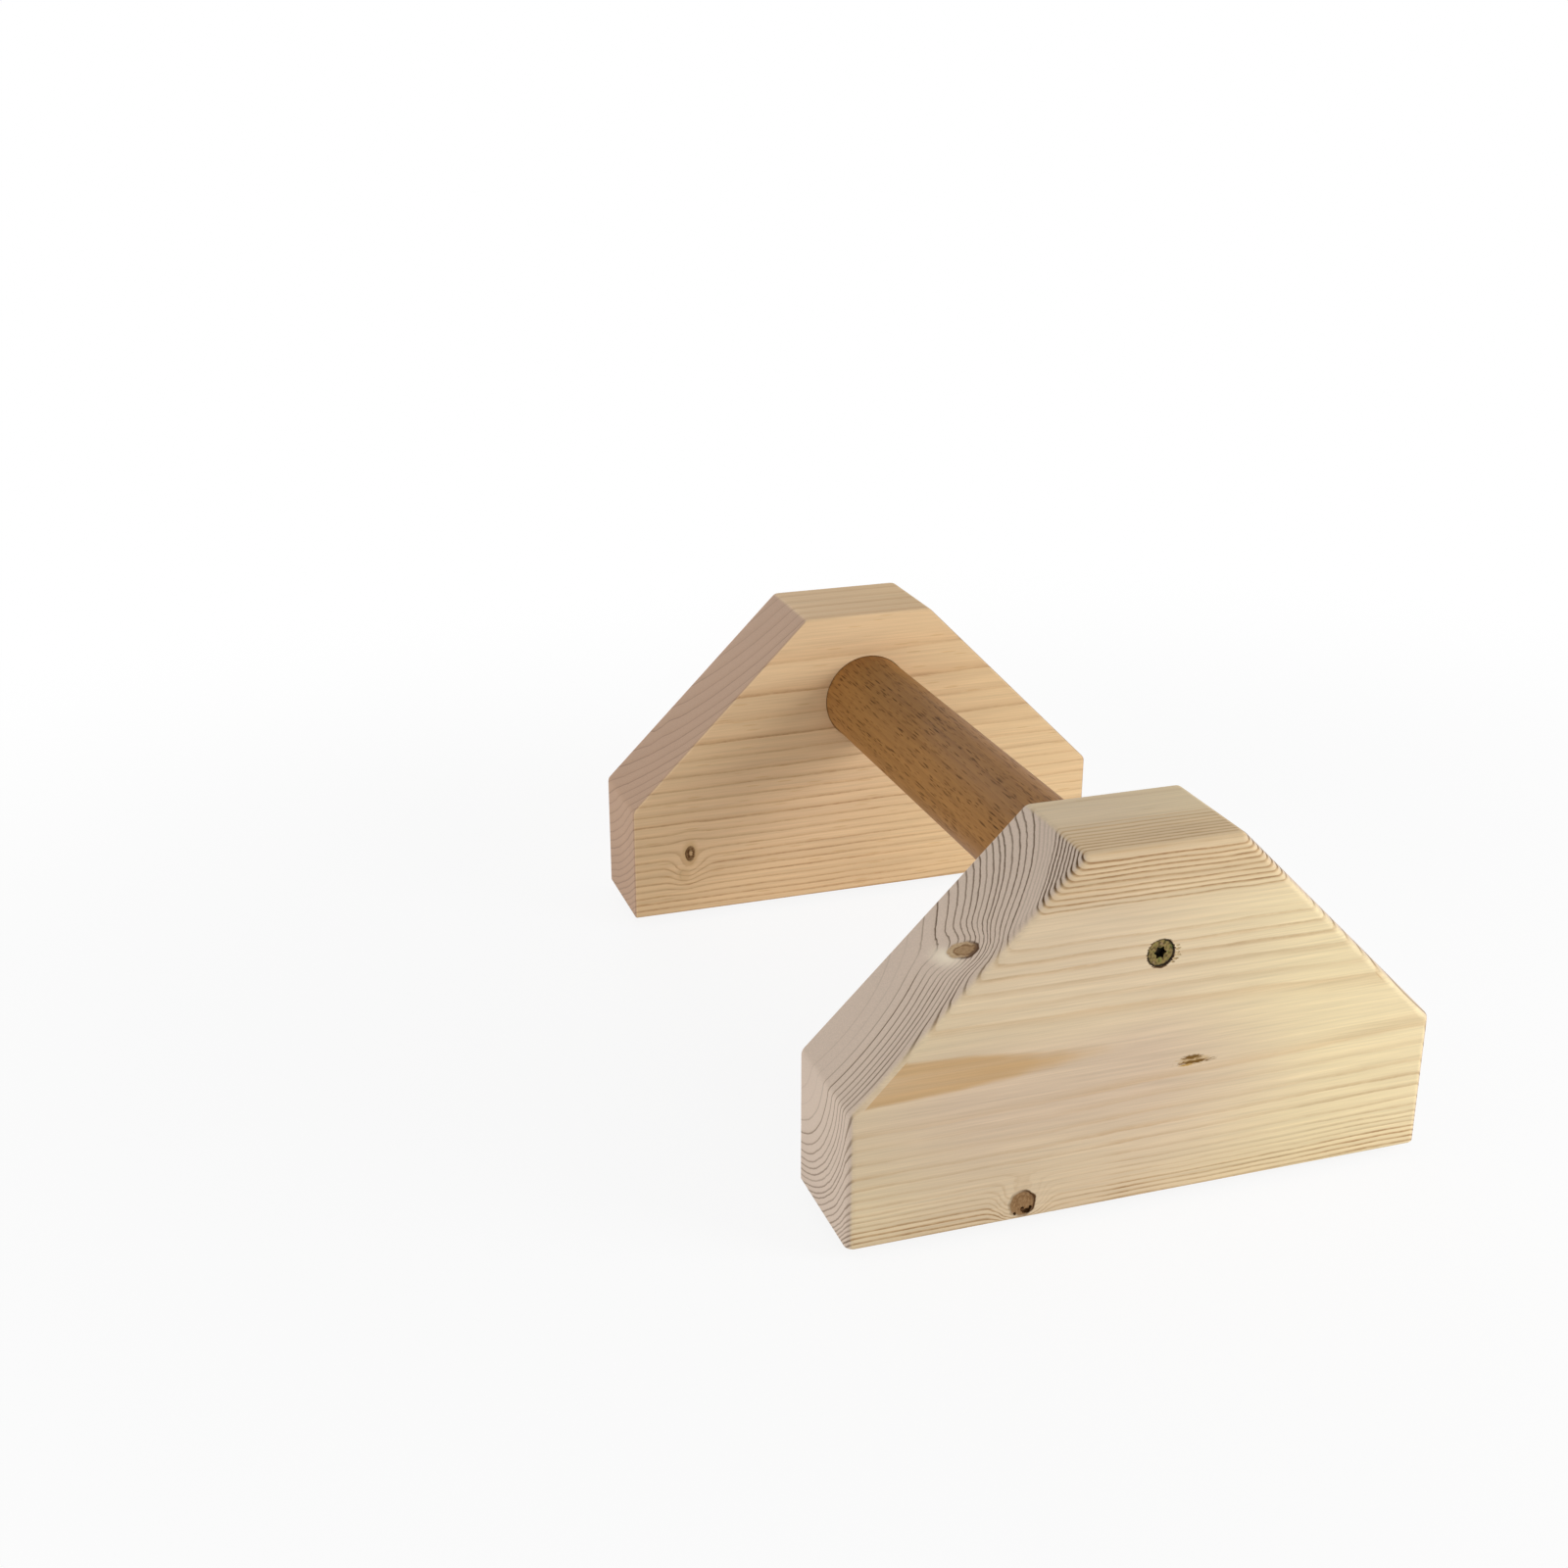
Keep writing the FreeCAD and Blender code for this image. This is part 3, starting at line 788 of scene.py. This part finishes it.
def with_bruise_and_shade(nodes, colour, place, screw):
    """A colour with the dark rim of a screw hole, ragged along the grain: painted shade and crushed fibres.
    """
    middle, head_radius = screw_head(screw)
    offset = nodes.vector("MULTIPLY", nodes.vector("SUBTRACT", place, tuple(middle)), (0, 1, 1))
    ragged = nodes.math("MINIMUM", nodes.noise(place, BRUISE_SHADE_EDGE), BRUISE_SHADE_LIMIT)
    gap = nodes.total(nodes.vector("LENGTH", offset), ragged, -head_radius)
    return nodes.mix(nodes.smooth(gap, *BRUISE_SHADE_STEP), colour, KNOT_BARK)


def pine(name, log, screw):
    """Softwood as a solid: rings about the pith, darker and sharper on the end grain, with knots."""
    nodes = Nodes(name)
    cut = find_cut(nodes, log)
    noises = [nodes.noise(cut.place, pattern, log.seed) for pattern in (FIBRES, THREADS, STREAKS, PORES)]
    grain = Grain(*noises)
    limbs = [branch(nodes, cut.place, log, knot) for knot in log.knots]
    rings = find_rings(nodes, log, cut, limbs)
    line = face_line(nodes, log, cut, rings)
    face = face_colour(nodes, log, cut, grain, rings, line)
    colour = nodes.mix(cut.end, face, end_colour(nodes, log, cut, grain, rings))
    tone = nodes.total(
        nodes.times(grain.fibres, cut.side, FIBRE_TONE),
        nodes.times(grain.threads, cut.side, THREAD_TONE),
        nodes.times(grain.streaks, cut.side, STREAK_TONE),
        nodes.times(grain.pores, cut.end, PORE_TONE),
        nodes.noise(cut.place, MOTTLE, log.seed),
        1.0,
    )
    # The tint warms all the wood, and on the rear block it is partly painted shade
    colour = nodes.vector("MULTIPLY", nodes.scale(colour, tone), log.tint_and_shade)
    for limb in limbs:
        colour = with_knot(nodes, colour, limb)
    for streak in log.streaks:
        colour = with_streak(nodes, colour, cut.place, streak)
    # The dark rim round the screw head: painted shadow of the gap, partly stained crushed fibres
    colour = with_bruise_and_shade(nodes, colour, cut.place, screw)
    relief = nodes.total(nodes.times(grain.fibres, cut.side), nodes.times(grain.pores, cut.end))
    nodes.bump(nodes.spread(nodes.times(relief, GRAIN_RELIEF), 0.5, 0.5), depth=0.07)
    nodes.set(
        Base_Color=colour,
        Roughness=nodes.total(nodes.spread(grain.fibres, 0.64, 0.06), nodes.times(line, -0.08)),
        Specular_IOR_Level=0.2,
    )
    return nodes.material


def torn_wood(name, shade, light):
    """Raw broken fibres."""
    nodes = Nodes(name)
    splinters = nodes.noise(nodes.place(), SPLINTERS)
    nodes.bump(nodes.spread(splinters, 0.5, 0.5), depth=0.20)
    nodes.set(
        Base_Color=nodes.mix(nodes.smooth(splinters, *SPLINTER_STEP), shade, light),
        Roughness=nodes.spread(splinters, 0.75, 0.08),
        Specular_IOR_Level=0.2,
    )
    return nodes.material


# Steamed beech: colours, and rings across the rod, which runs along X
BEECH = (0.32, 0.150, 0.042, 1)
BEECH_BAND = (0.235, 0.104, 0.028, 1)
BEECH_FLECK = (0.050, 0.016, 0.001, 1)
BEECH_RING_WIDTH = 3.8
BEECH_ACROSS = (0.018, 0.80, 0.60)
BEECH_WAVE = Pattern((0.008, 0.05, 0.05), seed=2.0, swing=3.0)

# Each ring ends in a darker band and a broken hairline
BAND_STEP = (0.1, 1.0)
BAND_POWER = 2.0
BAND_LEAST = 0.15
BAND_LUCK = 0.50
HAIRLINE_STEP = (0.08, 0.40, 0.35, 0.0)
HAIRLINE_BREAKS = Pattern((0.03, 0.2, 0.2), seed=5.0, detail=3.0)
HAIRLINE_BREAK_STEP = (-0.35, 0.25)

# Scattered flecks, each a pattern, a size and the share left out, and how they crowd
FLECKS = (
    (Pattern((0.090, 1.15, 1.15), seed=1.0), 0.38, 0.10),
    (Pattern((0.065, 0.85, 0.85), seed=6.0), 0.30, 0.20),
    (Pattern((0.160, 1.90, 1.90), seed=9.0), 0.40, 0.15),
)
FLECK_CORE = 0.35
FLECK_SURE = 0.85
FLECK_STRENGTH = 0.90
FLECK_CROWDS = Pattern((0.02, 0.10, 0.10), seed=14.0)
FLECK_CROWD_STEP = (-0.45, 0.15, 0.30, 1.0)

# Beech grain
BEECH_FIBRES = Pattern((0.03, 2.2, 2.2), seed=4.0, detail=4.0)
BEECH_FIBRE_TONE = 0.13
BEECH_THREADS = Pattern((0.06, 0.9, 0.9), seed=7.0, detail=3.0, swing=0.20)
BEECH_CLOUD = Pattern((0.012, 0.06, 0.06), seed=8.0, swing=0.14)
BEECH_FIBRE_RELIEF = 0.3
FLECK_RELIEF = -0.7


def beech_flecks(nodes, place):
    """Rows of short dark flecks, from 0 to 1."""
    flecks = []
    for pattern, size, left_out in FLECKS:
        gap, luck = nodes.cells(place, pattern)
        near = nodes.smooth(gap, size * FLECK_CORE, size, 1.0, 0.0)
        flecks.append(nodes.times(near, nodes.smooth(luck, left_out, FLECK_SURE)))
    crowd = nodes.smooth(nodes.noise(place, FLECK_CROWDS), *FLECK_CROWD_STEP)
    return nodes.times(nodes.most(*flecks), crowd)


def beech(name):
    """Steamed beech turned to a rod along X: long dark hairlines with rows of short dark flecks."""
    nodes = Nodes(name)
    place = nodes.place()
    across = nodes.total(nodes.vector("DOT_PRODUCT", place, BEECH_ACROSS), nodes.noise(place, BEECH_WAVE))
    number = nodes.times(across, 1 / BEECH_RING_WIDTH)
    part = nodes.math("FRACT", number)
    chance = nodes.random(nodes.math("FLOOR", number))
    rise = nodes.math("POWER", nodes.smooth(part, *BAND_STEP), BAND_POWER)
    band = nodes.times(rise, nodes.spread(chance, BAND_LEAST, BAND_LUCK))
    inside = nodes.times(nodes.rest(part), BEECH_RING_WIDTH)
    broken = nodes.smooth(nodes.noise(place, HAIRLINE_BREAKS), *HAIRLINE_BREAK_STEP)
    hairline = nodes.times(nodes.smooth(inside, *HAIRLINE_STEP), chance, broken)
    flecks = beech_flecks(nodes, place)
    fibres = nodes.noise(place, BEECH_FIBRES)
    tone = nodes.total(
        nodes.times(fibres, BEECH_FIBRE_TONE),
        nodes.noise(place, BEECH_THREADS),
        nodes.noise(place, BEECH_CLOUD),
        1.0,
    )
    colour = nodes.scale(nodes.mix(band, BEECH, BEECH_BAND), tone)
    dark = nodes.most(nodes.times(flecks, FLECK_STRENGTH), hairline)
    relief = nodes.total(nodes.times(fibres, BEECH_FIBRE_RELIEF), nodes.times(flecks, FLECK_RELIEF))
    nodes.bump(nodes.spread(relief, 0.6, 0.4), depth=0.15)
    nodes.set(
        Base_Color=nodes.mix(dark, colour, BEECH_FLECK),
        Roughness=nodes.total(nodes.spread(fibres, 0.50, 0.05), nodes.times(flecks, 0.15)),
        Specular_IOR_Level=0.10,
    )
    return nodes.material


# Yellow zinc plate: stains with a pattern and a step each, then painted shade by depth and by distance from
# the rim
ZINC = (0.27, 0.195, 0.070, 1)
ZINC_DULL = (0.090, 0.062, 0.022, 1)
ZINC_GREEN = (0.190, 0.210, 0.050, 1)
ZINC_ROSE = (0.300, 0.190, 0.130, 1)
# Painted shade for the drive recess and for the rim where the head sits in the wood
ZINC_SHADE = (0.012, 0.011, 0.010, 1)
ZINC_MOTTLE = Pattern((0.9, 0.9, 0.9), seed=3.0, detail=4.0)
ZINC_SCRATCHES = Pattern((1.0, 9.0, 2.0), seed=5.0, detail=3.0)
ZINC_STAINS = (
    (ZINC_GREEN, Pattern((0.7, 0.7, 0.7), seed=8.0), (0.05, 0.45)),
    (ZINC_ROSE, Pattern((0.8, 0.8, 0.8), seed=12.0), (0.10, 0.50)),
    (ZINC_DULL, ZINC_MOTTLE, (-0.20, 0.40)),
)
# Painted shade deep in the drive recess, and near the rim where the head sits in the wood
RECESS_SHADE_STEP = (-0.9, -0.15, 0.9, 0.0)
HEAD_RIM_SHADE_STEP = (-0.9, -0.2, 0.0, 0.85)
HEAD_RIM_SWING = 0.5


def zinc(name, screw):
    """Yellow zinc plate: olive gold, mottled, with painted shade deep in the drive recess and at the head's
    rim.
    """
    nodes = Nodes(name)
    place = nodes.place()
    middle, head_radius = screw_head(screw)
    head_reach = max(abs(corner.x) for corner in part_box(screw)) * PER_METRE
    x, y, z = nodes.split(place)
    off_axis = nodes.join(0.0, nodes.total(y, -middle.y), nodes.total(z, -middle.z))
    mottle = nodes.noise(place, ZINC_MOTTLE)
    scratches = nodes.noise(place, ZINC_SCRATCHES)
    uneven = nodes.spread(mottle, nodes.vector("LENGTH", off_axis), HEAD_RIM_SWING)
    from_rim = nodes.total(uneven, -head_radius)
    below_top = nodes.total(nodes.absolute(x), -head_reach)
    # Painted shade: darker, and rougher, deep in the drive recess and near the head's rim
    painted_shade = nodes.most(nodes.smooth(below_top, *RECESS_SHADE_STEP), nodes.smooth(from_rim, *HEAD_RIM_SHADE_STEP))
    colour = ZINC
    for stain, pattern, step in ZINC_STAINS:
        colour = nodes.mix(nodes.smooth(nodes.noise(place, pattern), *step), colour, stain)
    relief = nodes.times(nodes.total(mottle, scratches), 0.5)
    nodes.bump(nodes.spread(relief, 0.5, 0.5), depth=0.03)
    nodes.set(
        Base_Color=nodes.mix(painted_shade, colour, ZINC_SHADE),
        Metallic=0.85,
        Roughness=nodes.total(nodes.spread(mottle, 0.42, 0.10), nodes.times(painted_shade, 0.2)),
    )
    return nodes.material


# Black rubber with dust, and grey foam
RUBBER = (0.007, 0.0075, 0.008, 1)
RUBBER_DUST = (0.020, 0.020, 0.0195, 1)
RUBBER_GRAIN = Pattern((5.0, 5.0, 5.0), seed=1.0, detail=3.0)
DUST = Pattern((0.25, 0.25, 0.25), seed=6.0, detail=4.0)
DUST_STEP = (0.0, 0.7, 0.0, 0.5)
FOAM = (0.20, 0.20, 0.20, 1)
FOAM_PALE = (0.34, 0.34, 0.33, 1)
FOAM_CELLS = Pattern((4.0, 4.0, 4.0), seed=2.0)
FOAM_STEP = (-0.5, 0.5)


def rubber(name):
    """Matt black rubber with a fine moulded texture and a little dust."""
    nodes = Nodes(name)
    place = nodes.place()
    grain = nodes.noise(place, RUBBER_GRAIN)
    dust = nodes.smooth(nodes.noise(place, DUST), *DUST_STEP)
    nodes.bump(nodes.spread(grain, 0.5, 0.5), depth=0.05)
    nodes.set(
        Base_Color=nodes.mix(dust, RUBBER, RUBBER_DUST),
        Roughness=nodes.spread(grain, 0.58, 0.06),
        Specular_IOR_Level=0.2,
    )
    return nodes.material


def adhesive(name):
    """Thin grey foam tape."""
    nodes = Nodes(name)
    foam = nodes.noise(nodes.place(), FOAM_CELLS)
    nodes.bump(nodes.spread(foam, 0.5, 0.5), depth=0.06)
    nodes.set(
        Base_Color=nodes.mix(nodes.smooth(foam, *FOAM_STEP), FOAM, FOAM_PALE),
        Roughness=nodes.spread(foam, 0.7, 0.08),
        Specular_IOR_Level=0.3,
    )
    return nodes.material


# An even studio with a broad key in front on the right, a cool fill on the left and a lamp low behind
AMBIENT = 0.47
AIM = Vector((0.0, 0.0, 0.06))
LAMPS = (
    Lamp("key", Vector((0.62, 0.66, 0.38)), size=0.5, watts=5.5),
    Lamp("fill", Vector((0.15, -1.10, 0.12)), size=0.24, watts=4.1, colour=(0.96, 1.0, 1.06)),
    Lamp("back", Vector((-1.05, 0.00, 0.20)), size=0.36, watts=4.4),
)

# The floor's size, its colour, and how its white glow rises with the distance from the object, in metres
FLOOR_SIZE = 12.0
FLOOR_COLOUR = (0.86, 0.86, 0.86, 1)
FLOOR_GLOW_STEP = (0.25, 0.70, 0.88, 1.0)


def seen(tree):
    """1 on rays that the camera, a mirror or glass sends out, else 0."""
    path = tree.nodes.new("ShaderNodeLightPath")
    result = path.outputs["Is Camera Ray"]
    for ray in ("Is Glossy Ray", "Is Transmission Ray"):
        node = tree.nodes.new("ShaderNodeMath")
        node.operation = "MAXIMUM"
        tree.links.new(result, node.inputs[0])
        tree.links.new(path.outputs[ray], node.inputs[1])
        result = node.outputs[0]
    return result


def make_world():
    """Even light from all round, which looks white where it is seen."""
    world = bpy.data.worlds.new("studio")
    world.use_nodes = True
    tree = world.node_tree
    level = tree.nodes.new("ShaderNodeMapRange")
    level.inputs["To Min"].default_value = AMBIENT
    tree.links.new(seen(tree), level.inputs["Value"])
    tree.nodes["Background"].inputs["Color"].default_value = WHITE
    tree.links.new(level.outputs[0], tree.nodes["Background"].inputs["Strength"])
    bpy.context.scene.world = world


def make_floor():
    """A pale floor that keeps the shadow close to the object and turns white further away."""
    nodes = Nodes("floor")
    nodes.set(Base_Color=FLOOR_COLOUR, Roughness=0.9, Specular_IOR_Level=0.0)
    glow = nodes.add("ShaderNodeEmission")
    glow.inputs["Color"].default_value = WHITE
    away = nodes.vector("LENGTH", nodes.add("ShaderNodeTexCoord").outputs["Object"])
    share = nodes.times(nodes.smooth(away, *FLOOR_GLOW_STEP), seen(nodes.tree))
    blend = nodes.add("ShaderNodeMixShader")
    nodes.feed(blend.inputs[0], share)
    nodes.feed(blend.inputs[1], nodes.shader.outputs[0])
    nodes.feed(blend.inputs[2], glow.outputs[0])
    nodes.feed(nodes.tree.nodes["Material Output"].inputs["Surface"], blend.outputs[0])
    half = FLOOR_SIZE / 2
    corners = [(-half, -half, 0), (half, -half, 0), (half, half, 0), (-half, half, 0)]
    mesh = bpy.data.meshes.new("floor")
    mesh.from_pydata(corners, [], [(0, 1, 2, 3)])
    mesh.materials.append(nodes.material)
    floor = bpy.data.objects.new("floor", mesh)
    bpy.context.scene.collection.objects.link(floor)


def make_lamps():
    for lamp in LAMPS:
        light = bpy.data.lights.new(lamp.name, "AREA")
        light.size = lamp.size
        light.energy = lamp.watts
        light.color = lamp.colour
        shown = bpy.data.objects.new(lamp.name, light)
        shown.location = lamp.place
        shown.rotation_euler = (AIM - lamp.place).to_track_quat("-Z", "Y").to_euler()
        bpy.context.scene.collection.objects.link(shown)


def make_camera():
    data = bpy.data.cameras.new("camera")
    data.sensor_width = SENSOR_MM
    data.lens = FOCAL_PIXELS / FRAME_PIXELS * SENSOR_MM
    camera = bpy.data.objects.new("camera", data)
    camera.location = CAMERA_PLACE
    camera.rotation_euler = CAMERA_FORWARD.to_track_quat("-Z", "Y").to_euler()
    bpy.context.scene.collection.objects.link(camera)
    bpy.context.scene.camera = camera


# Points nearer than this, in metres, become one
SAME_POINT = 1e-6

# Edges that turn less than the flat angle are dissolved, and those beyond the sharp angle stay sharp
FLAT_ANGLE = math.radians(0.2)
SHARP_ANGLE = math.radians(30)

# How much large faces outweigh small ones in the shading
LARGE_FACE_WEIGHT = 100

# How much a lump's points lie inside or outside its size
LUMP_ROUGHNESS = (0.70, 1.15)


def dress(node, material):
    """Give a node of the frame its material."""
    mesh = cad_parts[node].data
    mesh.materials.clear()
    mesh.materials.append(material)


def make_piece(name, shape, material):
    """An object of one material from a bmesh, which is used up."""
    mesh = bpy.data.meshes.new(name)
    shape.to_mesh(mesh)
    shape.free()
    mesh.materials.append(material)
    piece = bpy.data.objects.new(name, mesh)
    bpy.context.scene.collection.objects.link(piece)
    return piece


def lump(name, chip, material):
    """A rough lump of a chip's size, to be cut out of a block."""
    shape = bmesh.new()
    bmesh.ops.create_icosphere(shape, subdivisions=2, radius=1.0)
    draw = random.Random(chip.seed)
    for vertex in shape.verts:
        rough = vertex.co * draw.uniform(*LUMP_ROUGHNESS)
        point = [middle + along * half for middle, along, half in zip(chip.place, rough, chip.size)]
        vertex.co = Vector(point) * MM
    return make_piece(name, shape, material)


def cut_out(piece, tools):
    """Cut objects out of a piece and remove them. The cut faces keep their materials."""
    for tool in tools:
        cut = piece.modifiers.new(tool.name, "BOOLEAN")
        cut.operation = "DIFFERENCE"
        cut.material_mode = "TRANSFER"
        cut.object = tool
    shown = piece.evaluated_get(bpy.context.evaluated_depsgraph_get())
    piece.data = bpy.data.meshes.new_from_object(shown)
    piece.modifiers.clear()
    for tool in tools:
        bpy.data.objects.remove(tool)


def make_block(node, material, chips):
    """A block with small pits torn out of its surface, which stands for the block's plain node."""
    shape = bmesh.new()
    shape.from_mesh(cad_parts[node].data)
    bmesh.ops.remove_doubles(shape, verts=shape.verts, dist=SAME_POINT)
    bmesh.ops.dissolve_limit(shape, angle_limit=FLAT_ANGLE, verts=shape.verts, edges=shape.edges)
    piece = make_piece(f"{node}_wood", shape, material)
    cut_out(piece, [lump(f"{node}_lump_{index}", chip, torn) for index, (chip, torn) in enumerate(chips)])
    piece.data.shade_smooth()
    piece.data.set_sharp_from_angle(angle=SHARP_ANGLE)
    flatten = piece.modifiers.new("flat_faces", "WEIGHTED_NORMAL")
    flatten.keep_sharp = True
    flatten.weight = LARGE_FACE_WEIGHT
    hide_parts(node)
    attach(piece, "root")


FRONT_LOG = Log(
    pith_x=FRONT_FACE - 58.29, pith_z=61.0, lean=0.0065,
    growth=((0, 0), (20, 0.3), (31, 2), (44, 5), (58, 11), (60, 12), (61.5, 13), (63.7, 14), (65.9, 15),
            (67.95, 16), (70.25, 17), (77, 22), (90, 32), (110, 47), (180, 60)),
    plain=38.0, pale=(71.2, 76.6), bold=76.6,
    marked=((39.7, 0.75), (53.3, 0.75), (60.0, 0.62), (61.5, 0.28), (63.7, 0.36), (65.9, 0.62),
            (67.95, 0.50), (70.25, 0.28), (71.6, 0.35), (73.0, 0.35), (74.3, 0.40), (75.6, 0.40),
            (80.8, 1.0)),
    least=0.12, stray=0.3,
    calm=(
        Calm(spot=(FRONT_FACE, -62.0, 42.0), reach=48.0, share=0.48),
        Calm(spot=(FRONT_FACE, -27.0, 14.0), reach=22.0, share=0.35),
        Calm(spot=(FRONT_FACE, 35.0, 8.0), reach=50.0, share=0.50),
    ),
    line=(1.5, 0.55), dusk=0.50, end_line=1.0, blush_and_shade=0.9, seed=2.0,
    knots=(
        Knot(spot=(FRONT_FACE, -44.0, 9.6), radius=3.5, dark_side=(0.0, 0.9, 0.3), stretch=1.25,
             lift=4.0, reach=3.6, dark=0.6, bark=0.30),
        Knot(spot=(FRONT_FACE - 15.8, -61.2, 95.3), radius=3.2, dark_side=(0.44, 0.73, -0.52),
             lift=4.5, reach=4.5, fade=1.0, bark=0.05, tip=0.75, halo=1.0, halo_side=(-0.6, -0.57, -0.57)),
    ),
    streaks=(
        Streak(spot=(FRONT_FACE, 14.5, 51.8), size=(3.0, 6.5, 2.2), colour=RESIN, strength=0.55),
        Streak(spot=(FRONT_FACE, 13.9, 52.8), size=(3.0, 4.6, 1.05), colour=PITCH, strength=0.95),
        Streak(spot=(FRONT_FACE, 15.3, 51.0), size=(3.0, 8.0, 0.90), colour=PITCH, strength=0.95),
        Streak(spot=(FRONT_FACE, 12.0, 50.2), size=(3.0, 3.6, 0.45), colour=RESIN, strength=0.90),
    ),
)
REAR_LOG = Log(
    pith_x=REAR_FACE - 47.0, pith_z=150.0, lean=0.012,
    growth=((0, 0), (60, 6), (95, 10.4), (105, 12.0), (118, 14.6), (135, 18.8), (150, 23.4), (172, 32),
            (180, 36)),
    plain=10.0, pale=(0.0, 1.0), bold=300.0, marked=(), least=0.42, stray=1.0,
    calm=(Calm(spot=(REAR_INNER_FACE, 60.0, 40.0), reach=80.0, share=0.60),),
    line=(0.75, 0.75), dusk=0.45, end_line=0.6, blush_and_shade=0.3, seed=5.0,
    knots=(
        Knot(spot=(REAR_INNER_FACE, -79.5, 30.8), radius=1.9, dark_side=(0.0, -0.9, -0.2),
             lift=2.0, parting=0.75, reach=5.0, dark=0.85, bark=0.6, glow=0.9, start=130.0),
        Knot(spot=(REAR_INNER_FACE, -82.5, 21.5), radius=1.2, dark_side=(0.0, -0.5, 0.5), stretch=1.4,
             lift=1.5, reach=3.0, depth=0.0, seam=0.10, bark=0.0, glow=0.4, start=130.0),
    ),
    streaks=(
        Streak(spot=(REAR_INNER_FACE, -79.5, 30.8), size=(3.0, 2.9, 3.9), colour=LATEWOOD, strength=0.70),
        Streak(spot=(REAR_INNER_FACE, -79.5, 30.8), size=(3.0, 2.3, 3.2), colour=KNOT_BARK, strength=0.97),
        Streak(spot=(REAR_INNER_FACE, -79.2, 31.0), size=(3.0, 1.0, 1.7), colour=DUSKWOOD, strength=0.90),
    ),
    # The rear block's tint is a warmer tone, partly painted shade, and its end_shade darkens the end grain
    # as painted shade
    tint_and_shade=(0.97, 0.835, 0.765), end_shade=(0.80, 0.76, 0.70),
)

# Pits at the foot of the lower knot, and fibres torn up beside the screws
FRONT_PITS = (
    Chip(place=(FRONT_FACE - 0.5, -42.4, 6.5), size=(1.3, 2.0, 1.2), seed=1),
    Chip(place=(FRONT_FACE - 0.4, -43.8, 7.4), size=(1.1, 0.8, 1.1), seed=2),
    Chip(place=(FRONT_FACE - 0.4, -41.1, 7.6), size=(1.1, 0.8, 1.2), seed=3),
    Chip(place=(FRONT_FACE - 0.1, -46.4, 6.2), size=(0.7, 0.6, 0.7), seed=4),
)
FRONT_TEARS = (
    Chip(place=(FRONT_FACE, 5.6, 94.0), size=(0.30, 0.9, 0.35), seed=5),
    Chip(place=(FRONT_FACE, 6.0, 92.8), size=(0.35, 1.2, 0.45), seed=6),
    Chip(place=(FRONT_FACE, 5.7, 91.5), size=(0.35, 1.0, 0.40), seed=9),
    Chip(place=(FRONT_FACE, 6.1, 90.5), size=(0.35, 1.3, 0.45), seed=10),
    Chip(place=(FRONT_FACE, 5.2, 89.4), size=(0.40, 1.2, 0.50), seed=11),
    Chip(place=(FRONT_FACE, 4.3, 88.4), size=(0.30, 1.0, 0.35), seed=12),
)
REAR_TEARS = (
    Chip(place=(REAR_FACE, -5.2, 92.6), size=(0.45, 1.4, 1.0), seed=7),
    Chip(place=(REAR_FACE, -5.0, 90.6), size=(0.40, 1.2, 0.8), seed=8),
)

pit_wood = torn_wood("pit_wood", KNOT_BARK, KNOT_RING)
raw_wood = torn_wood("raw_wood", RAW_SHADE, RAW_WOOD)
front_chips = [(chip, pit_wood) for chip in FRONT_PITS] + [(chip, raw_wood) for chip in FRONT_TEARS]
rear_chips = [(chip, raw_wood) for chip in REAR_TEARS]
make_block("front_block", pine("front_pine", FRONT_LOG, "front_bar_screw"), front_chips)
make_block("rear_block", pine("rear_pine", REAR_LOG, "rear_bar_screw"), rear_chips)
dress("grip_bar", beech("beech"))
screw_zinc = zinc("yellow_zinc", "front_bar_screw")
foot_rubber = rubber("black_rubber")
foot_adhesive = adhesive("foam_adhesive")
for end in ("front", "rear"):
    dress(f"{end}_bar_screw", screw_zinc)
    for hand in ("left", "right"):
        dress(f"{end}_{hand}_foot", foot_rubber)
        dress(f"{end}_{hand}_adhesive", foot_adhesive)

make_world()
make_floor()
make_lamps()
make_camera()
bpy.context.scene.view_settings.view_transform = "Standard"
